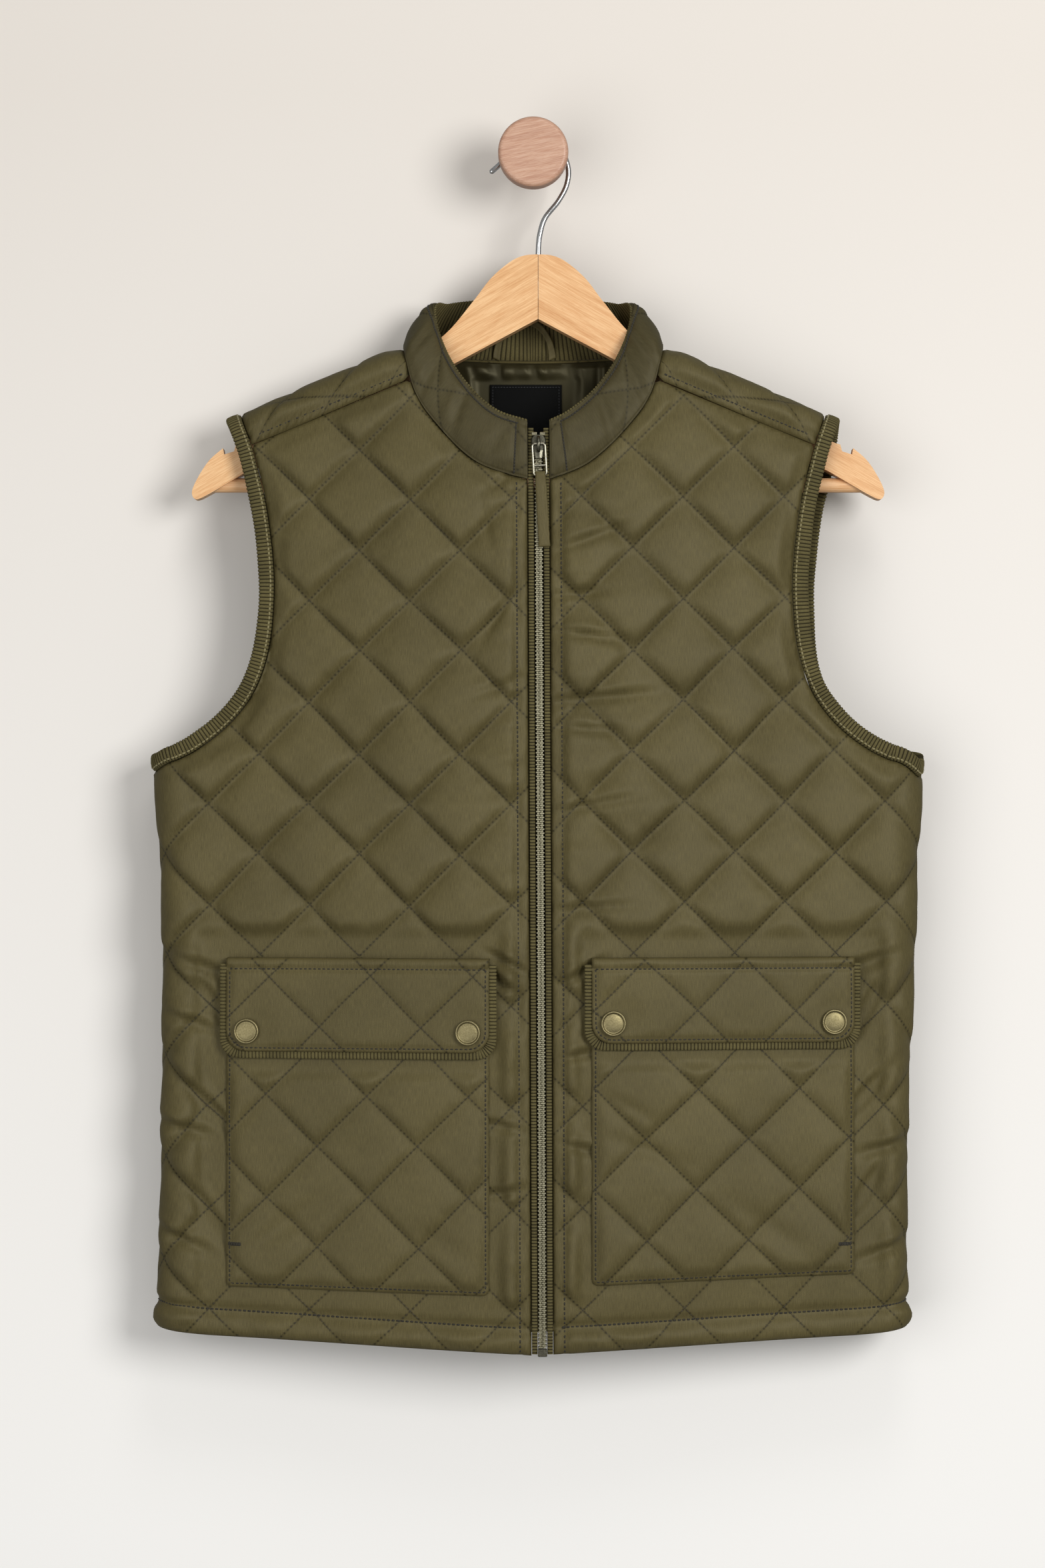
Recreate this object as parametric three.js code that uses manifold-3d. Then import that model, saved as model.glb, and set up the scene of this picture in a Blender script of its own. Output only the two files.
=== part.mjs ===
// A quilted zip-up vest on a wooden hanger, hung from a round wooden wall knob.
// Millimetres. +X is to the viewer's right, -Y towards the viewer, +Z up.
// The origin is the centre of the knob's back face, which is fixed to the wall plane y = 0.
import * as THREE from 'three';
import { mergeVertices } from 'three/addons/utils/BufferGeometryUtils.js';
import Module from 'manifold-3d';

const wasm = await Module();
wasm.setup();

// Driving dimensions

const MID_Y = -38; // upright plane through the hanger, halfway through the vest
const SEAM_GAP = 0.68; // between two pieces that meet at a seam
const TOUCH = 0.35; // between a piece and what it lies on

// The body's cross-section at each height: half of its width, how far its middle sways to
// the right, how far front and back stand off the hanger's plane, and the round of the sides.
const BODY = [
  { z: -785, half: 247, sway: -0.5, front: 39, back: 25, round: 22 },
  { z: -740, half: 246, sway: -0.5, front: 40, back: 26, round: 22 },
  { z: -700, half: 244, sway: 0, front: 41, back: 27, round: 22 },
  { z: -600, half: 244, sway: 1.5, front: 42, back: 28, round: 22 },
  { z: -500, half: 246, sway: 4, front: 43, back: 30, round: 22 },
  { z: -440, half: 248, sway: 3.5, front: 43, back: 31, round: 22 },
  { z: -400, half: 251, sway: 3, front: 42, back: 31, round: 22 },
  { z: -300, half: 251, sway: 0, front: 40, back: 30, round: 21 },
  { z: -212, half: 251, sway: 0, front: 37, back: 29, round: 19 },
  { z: -160, half: 251, sway: 0, front: 32, back: 28, round: 18 },
  { z: -110, half: 251, sway: 0, front: 28, back: 27, round: 18 },
];

// Soft folds pressed into the front, as in the photo: middle, direction in degrees, size and depth.
const FRONT_FOLDS = [
  { x: -190, z: -372, turn: 52, long: 60, wide: 13, deep: 4.5 },
  { x: -140, z: -350, turn: 118, long: 120, wide: 24, deep: 2.5 },
  { x: -213, z: -610, turn: 88, long: 150, wide: 15, deep: 3.5 },
  { x: 220, z: -590, turn: 95, long: 150, wide: 14, deep: 3 },
  { x: 70, z: -352, turn: 4, long: 110, wide: 12, deep: 2.5 },
  { x: 62, z: -436, turn: 176, long: 90, wide: 12, deep: 2 },
  { x: 150, z: -372, turn: 60, long: 80, wide: 16, deep: 2.5 },
];

// Closing line of the zip and the shoulder ridge
const ZIP = { topX: 3.3, topZ: -180, bottomX: 5.9, bottomZ: -770 };
const ZIP_GAP_HALF = 7.1; // from the zip's middle to each front's edge
const RIDGE = { neckX: 85.3, neckZ: -122.5, slope: 0.41, drop: 17, forward: 26 };

// One half of the neck from the zip round to the middle of the back: the seam where the collar
// is sewn on, in the front view, and the collar's top edge. The fifth row lies on the ridge.
const NECK_RING = [
  { face: -1, footX: 10, footZ: -211.5, topX: 10, topY: -71, topZ: -174.5 },
  { face: -1, footX: 36, footZ: -200.5, topX: 24, topY: -69.5, topZ: -167.5 },
  { face: -1, footX: 61, footZ: -177, topX: 41, topY: -63.5, topZ: -152 },
  { face: -1, footX: 78, footZ: -150, topX: 55.8, topY: -55.2, topZ: -128.9 },
  { face: 1, footX: 85.3, footZ: -122.5, topX: 65, topY: -37, topZ: -97.4 },
  { face: 1, footX: 76, footZ: -125.5, topX: 57, topY: -23, topZ: -94 },
  { face: 1, footX: 54, footZ: -128, topX: 42, topY: -15, topZ: -92 },
  { face: 1, footX: 27, footZ: -129.5, topX: 21, topY: -11.5, topZ: -91 },
  { face: 1, footX: 0, footZ: -130, topX: 0, topY: -10.5, topZ: -90.5 },
];
const ARMHOLE_LINE = [
  { x: 190, z: -165.5 },
  { x: 179.5, z: -195 },
  { x: 172, z: -227 },
  { x: 167.5, z: -262 },
  { x: 167, z: -289 },
  { x: 169.5, z: -316 },
  { x: 175, z: -337 },
  { x: 184, z: -355 },
  { x: 200, z: -373 },
  { x: 222, z: -388 },
  { x: 240, z: -394.5 },
];
const UNDERARM_Z = -397.5;
// The back is cut this much less deep at the arm and hangs this far to the right, both of which
// end this far above the underarm.
const BACK_ARMHOLE = { out: 4, shift: 3, fade: 130 };
// Each hem rises from its middle towards the sides, and then turns up to meet the side seams.
const FRONT_HEM = { middleZ: -772.2, slope: 0.052 };
const BACK_HEM = { middleZ: -765, slope: 0.03 };
const HEM_END = { turnX: 205, sideX: 259, sideZ: -756.5 };

// Quilted cloth: two layers with wadding, sewn together along a diamond lattice
const QUILT = { half: 32.5, wall: 3, puff: 4.5 };
const DIAMOND_STEPS = 2; // points along each side of a diamond
const KEEP_POINTS = 0.04; // a hair's breadth of relief, so that a cut keeps every point
const WALL_BACK = 5; // the wall's inner face lies this far inside the body's outline
const EDGE_FADE = 13; // the wadding thins out this near to a seam
const LATTICE = {
  leftFront: { x: -111.5, z: -256.5 },
  rightFront: { x: 64, z: -190 },
  back: { x: 0, z: -290 },
  leftPocket: { x: -106, z: -606 },
  rightPocket: { x: 105, z: -601 },
  leftFlap: { x: -103, z: -529 },
  rightFlap: { x: 103, z: -551 },
  collar: { x: 0, z: 16 },
};

// Pockets and flaps: distances from their middle line, heights, and how far off the body
const POCKET = { inner: 33, outer: 202, topZ: -529, wall: 2.6, puff: 2.4, lift: 4.2, round: 4 };
// The wadding lies flat under the pockets, with soft ends to the pressed part.
const PRESSED = { margin: 14, footZ: -765, topZ: -506, fadeX: 10, fadeZ: 12, share: 0.85 };
// A pocket lies nearly flat under its flap and to just below it.
const UNDER_FLAP = { clear: 7, fade: 8, share: 0.12 };
const POCKET_FOOT = {
  left: { innerZ: -733.6, outerZ: -729.5 },
  right: { innerZ: -727, outerZ: -721.7 },
};
const FLAP = { inner: 32.5, outer: 201, wall: 2, puff: 1.8, round: 13, lift: 9.4 };
const FLAP_SEAM = { wide: 2.5, inset: 1, low: 4.2, stations: 8 }; // the turned-in top edge
const FLAP_EDGE = {
  left: { topZ: -518, bottomZ: -578 },
  right: { topZ: -517.5, bottomZ: -572 },
};
const FLAP_FACING = { proud: 4.5, wall: 1.2, lift: 7.8 };
const POCKET_LINE_X = 4.6; // middle between the two pockets
const SNAP = { radius: 8.1, rim: 2.4, dish: 1.5, inset: 13.2, up: 13, lift: 0.25, sides: 18 };
const SNAP_FLAT = { radius: 14, fade: 18 }; // the flap lies flat round each snap

// Stand collar of a quilted outer layer and a ribbed facing that stands a little above it
const COLLAR = { stand: 37, topBack: 2.4, wall: 2.6, puff: 1.8, facing: 1.3, proud: 1.6, bulge: 2.5 };
const COLLAR_STEPS = 30; // from the zip to the middle of the back
const COLLAR_ROWS = [0, 0.33, 0.67, 1];

// Edge binding at the armholes, and the neck's inside
const BINDING = { wide: 9.6, thick: 4.8, corner: 1.6, low: -0.6, stations: 60 };
const ARM_STEPS = 60;
const NECK_STEPS = 32;
const LINING_STEPS = 12;
const LINING = { half: 64.4, bottomZ: -240, wall: 1.2, top: 1.5 };
const LABEL = { left: -28.3, right: 18.9, topZ: -145.5, bottomZ: -190, wall: 0.8 };
const LOOP = { left: -24, right: 12.5, wide: 5, thick: 1, footZ: -129, topZ: -104 };

// Zip
const CHAIN = { half: 2.8, low: 1.2, high: 4.2, topZ: -180, bottomZ: -767.3 };
const TAPE = { inner: 3.2, outer: 6.7, low: 0.8, high: 2.8, topZ: -178, bottomZ: -771 };
const ZIP_STEP = 22;
const SLIDER = { topZ: -183.5, long: 15, half: 4.7, waist: 3.4, low: 4.6, high: 6.6 };
const BAIL = { wire: 0.9, half: 4.6, rise: 4.2, z: -189.5, sunk: 0.4, steps: 12 };
const BOTTOM_BOX = { half: 3, topZ: -767.7, bottomZ: -772.6, low: 0.9, high: 4.9 };
const PULL = { half: 4.1, wire: 0.75, bend: 1.6, barAt: 14, long: 20, lift: 8.2, restLift: 5.7 };
const PULL_LEAN = 3.3; // degrees to the right
const TAB = { half: 3.6, top: 21.1, bottom: 66, thick: 2 };

// Hanger: half of the arm's outline around its own middle, and the wire hook
const HANGER = { x: 3.2, thick: 14, edge: 2, barR: 4.7, barZ: -213, barHalf: 211 };
const HANGER_TOP = [
  { x: 0, z: -64 },
  { x: 9, z: -64.8 },
  { x: 18, z: -68.8 },
  { x: 30.5, z: -79.5 },
  { x: 42.5, z: -95 },
  { x: 60, z: -115.5 },
  { x: 84, z: -132.6 },
  { x: 102, z: -141.5 },
  { x: 120, z: -150 },
  { x: 192, z: -186 },
  { x: 204, z: -189.6 },
  { x: 213, z: -197.5 },
  { x: 220.5, z: -209 },
  { x: 224, z: -218 },
  { x: 221, z: -222.5 },
];
const HANGER_UNDER = [
  { x: 212, z: -218.5 },
  { x: 190, z: -205.5 },
  { x: 51, z: -133 },
  { x: 0, z: -105.8 },
];
const NOTCH = { x: 195.5, wide: 8, deep: 4, slant: 1.2 };
const MITRE_GAP = 0.3;
const BEYOND = 300; // longer than a hanger's arm
const HOOK = { wire: 1.75, footZ: -80, sides: 8, steps: 40 };
const HOOK_PATH = [
  { x: 3.2, z: -80 },
  { x: 3.4, z: -60 },
  { x: 4.4, z: -50 },
  { x: 7.5, z: -40 },
  { x: 16.4, z: -28.5 },
  { x: 21.6, z: -18.5 },
  { x: 22.8, z: -8 },
  { x: 18.5, z: 3.6 },
  { x: 10.5, z: 10.2 },
  { x: 1, z: 12.25 },
  { x: -8.5, z: 9.6 },
  { x: -15.5, z: 3.6 },
  { x: -20.5, z: -3.6 },
  { x: -28, z: -10.5 },
];
const KNOB = { stemR: 10, stemLong: 45, discR: 22.6, discThick: 18, edge: 3.2, sides: 32 };

// Small tools

const clamp = (value, low, high) => Math.min(Math.max(value, low), high);
const ease = (share) => {
  const t = clamp(share, 0, 1);
  return t * t * (3 - 2 * t);
};
const mix = (from, to, share) => from + (to - from) * share;

// A table's row at any value of its key column, on a smooth curve through the rows.
function rowAt(table, key, value) {
  const last = table.length - 1;
  const at = clamp(value, table[0][key], table[last][key]);
  let i = 0;
  while (i < last - 1 && at > table[i + 1][key]) i += 1;
  const span = table[i + 1][key] - table[i][key];
  const t = (at - table[i][key]) / span;
  const row = {};
  for (const name of Object.keys(table[0])) {
    const slope = (k) => {
      const low = table[Math.max(k - 1, 0)];
      const high = table[Math.min(k + 1, last)];
      return (high[name] - low[name]) / (high[key] - low[key]);
    };
    const rise = table[i + 1][name] - table[i][name];
    const a = slope(i) * span - rise;
    const b = rise - slope(i + 1) * span;
    row[name] = table[i][name] + rise * t + t * (1 - t) * (a * (1 - t) + b * t);
  }
  return row;
}

function signedVolume(geometry) {
  const place = geometry.getAttribute('position');
  const index = geometry.getIndex();
  const corner = (k) => new THREE.Vector3().fromBufferAttribute(place, index.getX(k));
  let sum = 0;
  for (let k = 0; k < index.count; k += 3) {
    sum += corner(k).dot(corner(k + 1).cross(corner(k + 2)));
  }
  return sum / 6;
}

// A geometry from points and triangles, with its faces pointing out.
function closedGeometry(points, triangles) {
  const geometry = new THREE.BufferGeometry();
  geometry.setAttribute('position', new THREE.Float32BufferAttribute(points, 3));
  geometry.setIndex([...triangles]);
  if (signedVolume(geometry) < 0) {
    const index = geometry.getIndex();
    for (let k = 0; k < index.count; k += 3) {
      const kept = index.getX(k);
      index.setX(k, index.getX(k + 1));
      index.setX(k + 1, kept);
    }
  }
  geometry.computeVertexNormals();
  return geometry;
}

function toSolid(geometry) {
  const bare = geometry.clone();
  bare.deleteAttribute('normal');
  bare.deleteAttribute('uv');
  const merged = mergeVertices(bare, 1e-4);
  const mesh = new wasm.Mesh({
    numProp: 3,
    vertProperties: new Float32Array(merged.getAttribute('position').array),
    triVerts: new Uint32Array(merged.getIndex().array),
  });
  return new wasm.Manifold(mesh);
}

function fromSolid(solid) {
  const mesh = solid.getMesh();
  return closedGeometry(Array.from(mesh.vertProperties), mesh.triVerts);
}

// Body surfaces. A point of the flat cloth is (a, b): a across, b up, both in the front view's
// millimetres until the cloth turns round a side or over the shoulder.

const ridgeZ = (a) => RIDGE.neckZ - RIDGE.slope * (Math.abs(a) - RIDGE.neckX);
const zipX = (z) =>
  mix(ZIP.topX, ZIP.bottomX, clamp((ZIP.topZ - z) / (ZIP.topZ - ZIP.bottomZ), 0, 1));

function foldDepth(a, b) {
  let depth = 0;
  for (const fold of FRONT_FOLDS) {
    const turn = THREE.MathUtils.degToRad(fold.turn);
    const along = (a - fold.x) * Math.cos(turn) + (b - fold.z) * Math.sin(turn);
    const across = (b - fold.z) * Math.cos(turn) - (a - fold.x) * Math.sin(turn);
    const bell = Math.exp(-((across / fold.wide) ** 2) - (along / (fold.long / 2)) ** 2);
    depth += fold.deep * bell;
  }
  return depth;
}

// face is -1 on the front and 1 on the back
function torso(face, a, b) {
  const row = rowAt(BODY, 'z', b);
  const off = a - row.sway;
  const side = off < 0 ? -1 : 1;
  const flat = row.half - row.round;
  const over = Math.abs(off) - flat;
  const deep = face < 0 ? row.front : row.back;
  let x = Math.abs(off);
  let y = row.round * Math.cos(Math.max(over, 0) / row.round);
  if (over > 0) {
    x = flat + row.round * Math.sin(over / row.round);
  } else {
    y += ((deep - row.round) * (1 + Math.cos((Math.PI * x) / flat))) / 2;
    y -= face < 0 ? foldDepth(a, b) * ease(-over / row.round) : 0;
  }
  return new THREE.Vector3(row.sway + side * x, MID_Y + face * y, b);
}

const sideSeamA = (side, z) => {
  const row = rowAt(BODY, 'z', z);
  return row.sway + side * (row.half - row.round + (Math.PI / 2) * row.round);
};

function shoulderRoll(face, a) {
  const start = ridgeZ(a) - RIDGE.drop;
  const deep = Math.abs(torso(face, a, start).y - MID_Y);
  const quarter = (Math.PI / 2) * Math.sqrt((RIDGE.drop ** 2 + deep ** 2) / 2);
  return { start, deep, quarter, ridgeB: start + quarter };
}

// The body with its shoulders: above the roll's start the cloth turns over the ridge.
function shell(face, a, b) {
  const roll = shoulderRoll(face, a);
  if (b <= roll.start) return torso(face, a, b);
  const point = torso(face, a, roll.start);
  const angle = ((b - roll.start) / roll.quarter) * (Math.PI / 2);
  point.y = MID_Y + face * roll.deep * Math.cos(angle);
  point.z = roll.start + RIDGE.drop * Math.sin(angle);
  return point;
}

// The flat height b at which the cloth passes through height z of the front view.
function flatHeight(face, a, z) {
  const roll = shoulderRoll(face, a);
  if (z <= roll.start) return z;
  const angle = Math.asin(clamp((z - roll.start) / RIDGE.drop, 0, 1));
  return roll.start + roll.quarter * (angle / (Math.PI / 2));
}

const frontSurface = (a, b) => shell(-1, a, b);

// The back piece runs over the shoulder ridge and down to the forward shoulder seam.
function backSurface(a, b) {
  const back = shoulderRoll(1, a);
  if (b <= back.ridgeB) return shell(1, a, b);
  return shell(-1, a, shoulderRoll(-1, a).ridgeB - (b - back.ridgeB));
}

function outward(surface, turn, a, b) {
  const step = 0.5;
  const across = surface(a + step, b).sub(surface(a - step, b));
  const up = surface(a, b + step).sub(surface(a, b - step));
  return across.cross(up).normalize().multiplyScalar(turn);
}

// Places a point of the flat cloth, h above the wall's inner face.
const placer = (surface, turn, depth = WALL_BACK) => (a, b, h) =>
  surface(a, b).add(outward(surface, turn, a, b).multiplyScalar(h - depth));

const onFront = placer(frontSurface, 1);
const onBack = placer(backSurface, -1);

// Flat cloth

function edgeDistance(outline, a, b) {
  let nearest = Infinity;
  outline.forEach((from, k) => {
    const to = outline[(k + 1) % outline.length];
    const dx = to.x - from.x;
    const dz = to.z - from.z;
    const share = clamp(((a - from.x) * dx + (b - from.z) * dz) / (dx * dx + dz * dz), 0, 1);
    nearest = Math.min(nearest, Math.hypot(a - from.x - dx * share, b - from.z - dz * share));
  });
  return nearest;
}

// A sheet of points over the lattice's diamonds p0..p1 by q0..q1.
function latticeSheet(lattice, range, height) {
  const steps = DIAMOND_STEPS;
  const wide = (range.p1 - range.p0) * steps;
  const long = (range.q1 - range.q0) * steps;
  const points = [];
  for (let j = 0; j <= long; j += 1) {
    for (let i = 0; i <= wide; i += 1) {
      const p = range.p0 + i / steps;
      const q = range.q0 + j / steps;
      const a = lattice.x + (p - q) * QUILT.half;
      const b = lattice.z + (p + q) * QUILT.half;
      points.push(a, b, height(a, b, p, q) + KEEP_POINTS * ((i + j) % 2));
    }
  }
  const at = (i, j) => j * (wide + 1) + i;
  const triangles = [];
  for (let j = 0; j < long; j += 1) {
    for (let i = 0; i < wide; i += 1) {
      triangles.push(at(i, j), at(i + 1, j), at(i + 1, j + 1));
      triangles.push(at(i, j), at(i + 1, j + 1), at(i, j + 1));
    }
  }
  const side = (count, pick) => Array.from({ length: count + 1 }, (_, k) => pick(k));
  const rim = [
    side(wide, (k) => at(k, 0)),
    side(long, (k) => at(wide, k)),
    side(wide, (k) => at(wide - k, long)),
    side(long, (k) => at(0, long - k)),
  ];
  return { points, triangles, rim };
}

// Triangles between two chains of points that run side by side.
function ladder(low, high) {
  const triangles = [];
  let i = 0;
  let j = 0;
  while (i < low.length - 1 || j < high.length - 1) {
    if (j === high.length - 1 || (i + 1) / (low.length - 1) <= (j + 1) / (high.length - 1)) {
      if (i === low.length - 1) {
        triangles.push(low[i], high[j + 1], high[j]);
        j += 1;
      } else {
        triangles.push(low[i], low[i + 1], high[j]);
        i += 1;
      }
    } else {
      triangles.push(low[i], high[j + 1], high[j]);
      j += 1;
    }
  }
  return triangles;
}

// A piece cut from quilted cloth along its outline, then laid where place puts each point.
function clothPiece({ outline, lattice, wall, puff, foot = () => 0, place }) {
  const ps = [];
  const qs = [];
  for (const point of outline) {
    const right = (point.x - lattice.x) / (2 * QUILT.half);
    const up = (point.z - lattice.z) / (2 * QUILT.half);
    ps.push(up + right);
    qs.push(up - right);
  }
  const range = {
    p0: Math.floor(Math.min(...ps)) - 1,
    p1: Math.ceil(Math.max(...ps)) + 1,
    q0: Math.floor(Math.min(...qs)) - 1,
    q1: Math.ceil(Math.max(...qs)) + 1,
  };
  const pillow = (a, b, p, q) => {
    const swell = Math.abs(Math.sin(Math.PI * p) * Math.sin(Math.PI * q)) ** 0.7;
    return foot(a, b) + wall + puff(a, b) * swell * ease(edgeDistance(outline, a, b) / EDGE_FADE);
  };
  const top = latticeSheet(lattice, range, pillow);
  const under = latticeSheet(lattice, range, foot);
  const shift = top.points.length / 3;
  const triangles = [...top.triangles];
  for (let k = 0; k < under.triangles.length; k += 3) {
    const [a, b, c] = under.triangles.slice(k, k + 3);
    triangles.push(a + shift, c + shift, b + shift);
  }
  top.rim.forEach((chain, k) => {
    triangles.push(...ladder(under.rim[k].map((v) => v + shift), chain));
  });
  const blank = closedGeometry([...top.points, ...under.points], triangles);
  const shape = new THREE.Shape(outline.map((p) => new THREE.Vector2(p.x, p.z)));
  const cutter = new THREE.ExtrudeGeometry(shape, { depth: 60, bevelEnabled: false });
  cutter.translate(0, 0, -20);
  const cut = fromSolid(toSolid(blank).intersect(toSolid(cutter)));
  const spots = cut.getAttribute('position');
  const placed = [];
  for (let k = 0; k < spots.count; k += 1) {
    placed.push(...place(spots.getX(k), spots.getY(k), spots.getZ(k)).toArray());
  }
  return closedGeometry(placed, cut.getIndex().array);
}

// Joins rings of points, each a closed section, into one closed body.
function loft(rings, closed) {
  const size = rings[0].length;
  const points = rings.flatMap((ring) => ring.flatMap((corner) => corner.toArray()));
  const triangles = [];
  const spans = closed ? rings.length : rings.length - 1;
  for (let k = 0; k < spans; k += 1) {
    const next = (k + 1) % rings.length;
    for (let m = 0; m < size; m += 1) {
      const n = (m + 1) % size;
      triangles.push(k * size + m, next * size + m, next * size + n);
      triangles.push(k * size + m, next * size + n, k * size + n);
    }
  }
  if (!closed) {
    const contour = flattened(rings[0]);
    const turned = THREE.ShapeUtils.isClockWise(contour);
    const end = (rings.length - 1) * size;
    for (const [a, b, c] of THREE.ShapeUtils.triangulateShape(contour, [])) {
      const [first, second] = turned ? [c, b] : [b, c];
      triangles.push(a, first, second);
      triangles.push(end + a, end + second, end + first);
    }
  }
  return closedGeometry(points, triangles);
}

// A ring's points in its own plane.
function flattened(ring) {
  const origin = ring[0];
  const across = ring[1].clone().sub(origin).normalize();
  let up = null;
  for (const point of ring) {
    const side = point.clone().sub(origin);
    side.addScaledVector(across, -side.dot(across));
    if (!up || side.lengthSq() > up.lengthSq()) up = side;
  }
  up.normalize();
  return ring.map((point) => {
    const from = point.clone().sub(origin);
    return new THREE.Vector2(from.dot(across), from.dot(up));
  });
}

// Sweeps a section along stations, each a point and the two directions of the section's plane.
const sweep = (stations, section, closed) =>
  loft(
    stations.map(({ at, out, up }) =>
      section.map(([o, u]) => at.clone().addScaledVector(out, o).addScaledVector(up, u)),
    ),
    closed,
  );

function circle(radius, sides) {
  const section = [];
  for (let k = 0; k < sides; k += 1) {
    const angle = (k / sides) * 2 * Math.PI;
    section.push([radius * Math.cos(angle), radius * Math.sin(angle)]);
  }
  return section;
}

// Outlines of the cut pieces. One flat frame, the back's, runs over the shoulder and on down the
// front, so that each neck and armhole is one smooth line.

const overShoulder = (a, z) =>
  shoulderRoll(1, a).ridgeB + shoulderRoll(-1, a).ridgeB - flatHeight(-1, a, z);

const toFront = (p) => ({
  x: p.x,
  z: shoulderRoll(1, p.x).ridgeB + shoulderRoll(-1, p.x).ridgeB - p.z,
});

const toBack = (face, p) => ({
  x: p.x,
  z: face > 0 ? flatHeight(1, p.x, p.z) : overShoulder(p.x, p.z),
});

function smoothLine(points, count) {
  const curve = new THREE.SplineCurve(points.map((p) => new THREE.Vector2(p.x, p.z)));
  const line = [];
  for (let k = 0; k <= count; k += 1) {
    const p = curve.getPoint(k / count);
    line.push({ x: p.x, z: p.y });
  }
  return line;
}

// The part of a line that passes a test, ending where the line crosses the test's edge.
function keepWhere(line, keep) {
  const kept = [];
  line.forEach((point, k) => {
    const before = line[k - 1];
    if (before && keep(point) !== keep(before)) {
      let from = before;
      let to = point;
      for (let round = 0; round < 12; round += 1) {
        const half = { x: (from.x + to.x) / 2, z: (from.z + to.z) / 2 };
        if (keep(half) === keep(before)) from = half;
        else to = half;
      }
      kept.push(from);
    }
    if (keep(point)) kept.push(point);
  });
  return kept;
}

// The neck from the zip over the shoulder to the middle of the back.
function neckLine(side, count) {
  const rows = NECK_RING.map((row, k) => {
    const x = k === 0 ? zipX(row.footZ) + side * ZIP_GAP_HALF : side * row.footX;
    return toBack(row.face, { x, z: row.footZ });
  });
  return smoothLine(rows, count);
}

// The armhole from the front's side seam over the shoulder to the back's.
function armholeLine(side, count) {
  const seam = { x: sideSeamA(side, UNDERARM_Z), z: UNDERARM_Z };
  const front = ARMHOLE_LINE.map((p) => toBack(-1, { x: side * p.x, z: p.z })).reverse();
  const back = ARMHOLE_LINE.slice(1).map((p) => {
    const share = 1 - ease((UNDERARM_Z + BACK_ARMHOLE.fade - p.z) / BACK_ARMHOLE.fade);
    const x = side * (p.x + BACK_ARMHOLE.out * share) + BACK_ARMHOLE.shift * share;
    return toBack(1, { x, z: p.z });
  });
  return smoothLine([toBack(-1, seam), ...front, ...back, toBack(1, seam)], count);
}

const forwardSeam = (a) => ridgeZ(a) - RIDGE.forward;

function hemLine(hem, fromX, toX, count) {
  const { turnX, sideX, sideZ } = HEM_END;
  const turnUp = sideZ - hem.middleZ - hem.slope * sideX;
  const line = [];
  for (let k = 0; k <= count; k += 1) {
    const x = mix(fromX, toX, k / count);
    const out = Math.abs(x);
    const turned = ease((out - turnX) / (sideX - turnX));
    line.push({ x, z: hem.middleZ + hem.slope * out + turnUp * turned });
  }
  return line;
}

const SEAM_STEPS = [-757, -740, -720, -700, -680, -655, -630, -600, -560, -520, -480, -450, -420];
const seamEdge = (side) =>
  SEAM_STEPS.map((z) => ({ x: sideSeamA(side, z) - (side * SEAM_GAP) / 2, z }));

function frontOutline(side) {
  const onFrontPiece = (p) => toFront(p).z < forwardSeam(p.x) - SEAM_GAP / 2;
  const trim = (p) => ({ x: p.x - (side * SEAM_GAP) / 2, z: p.z });
  const zipEdge = (z) => ({ x: zipX(z) + side * ZIP_GAP_HALF, z });
  const hem = hemLine(FRONT_HEM, zipEdge(FRONT_HEM.middleZ).x, seamEdge(side)[0].x, 16);
  const armhole = keepWhere(armholeLine(side, ARM_STEPS), onFrontPiece).map(toFront);
  const neck = keepWhere(neckLine(side, NECK_STEPS), onFrontPiece).map(toFront);
  return [
    ...hem.slice(0, -1),
    ...seamEdge(side),
    trim(armhole[0]),
    ...armhole.slice(1),
    ...neck.reverse(),
    zipEdge(-400),
    zipEdge(-600),
  ];
}

function backHalf(side) {
  const onBackPiece = (p) => toFront(p).z > forwardSeam(p.x) + SEAM_GAP / 2;
  const armhole = keepWhere(armholeLine(side, ARM_STEPS), onBackPiece).reverse();
  const neck = keepWhere(neckLine(side, NECK_STEPS), onBackPiece);
  armhole[0].x -= (side * SEAM_GAP) / 2;
  return [...seamEdge(side), ...armhole, ...neck];
}

function backOutline() {
  const right = backHalf(1);
  const left = backHalf(-1).reverse().slice(1);
  const hem = hemLine(BACK_HEM, seamEdge(-1)[0].x, seamEdge(1)[0].x, 32).slice(1, -1);
  return [...hem, ...right, ...left];
}

// A four-cornered outline with its lower corners rounded.
function pocketShape({ innerX, outerX, topZ, innerZ, outerZ, round }) {
  const side = Math.sign(outerX - innerX);
  const arc = (x, z, start) =>
    [0, 1, 2, 3, 4].map((k) => {
      const angle = start + (k / 4) * (Math.PI / 2);
      return { x: x + side * round * Math.cos(angle), z: z + round * Math.sin(angle) };
    });
  return [
    { x: innerX, z: topZ },
    ...arc(innerX + side * round, innerZ + round, Math.PI),
    ...arc(outerX - side * round, outerZ + round, (3 * Math.PI) / 2),
    { x: outerX, z: topZ },
  ];
}

function pocketOutline(name, side) {
  return pocketShape({
    innerX: POCKET_LINE_X + side * POCKET.inner,
    outerX: POCKET_LINE_X + side * POCKET.outer,
    topZ: POCKET.topZ,
    innerZ: POCKET_FOOT[name].innerZ,
    outerZ: POCKET_FOOT[name].outerZ,
    round: POCKET.round,
  });
}

function flapOutline(name, side, proud, below) {
  return pocketShape({
    innerX: POCKET_LINE_X + side * (FLAP.inner - proud),
    outerX: POCKET_LINE_X + side * (FLAP.outer + proud),
    topZ: FLAP_EDGE[name].topZ - below,
    innerZ: FLAP_EDGE[name].bottomZ - proud,
    outerZ: FLAP_EDGE[name].bottomZ - proud,
    round: FLAP.round,
  });
}

// Materials

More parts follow.
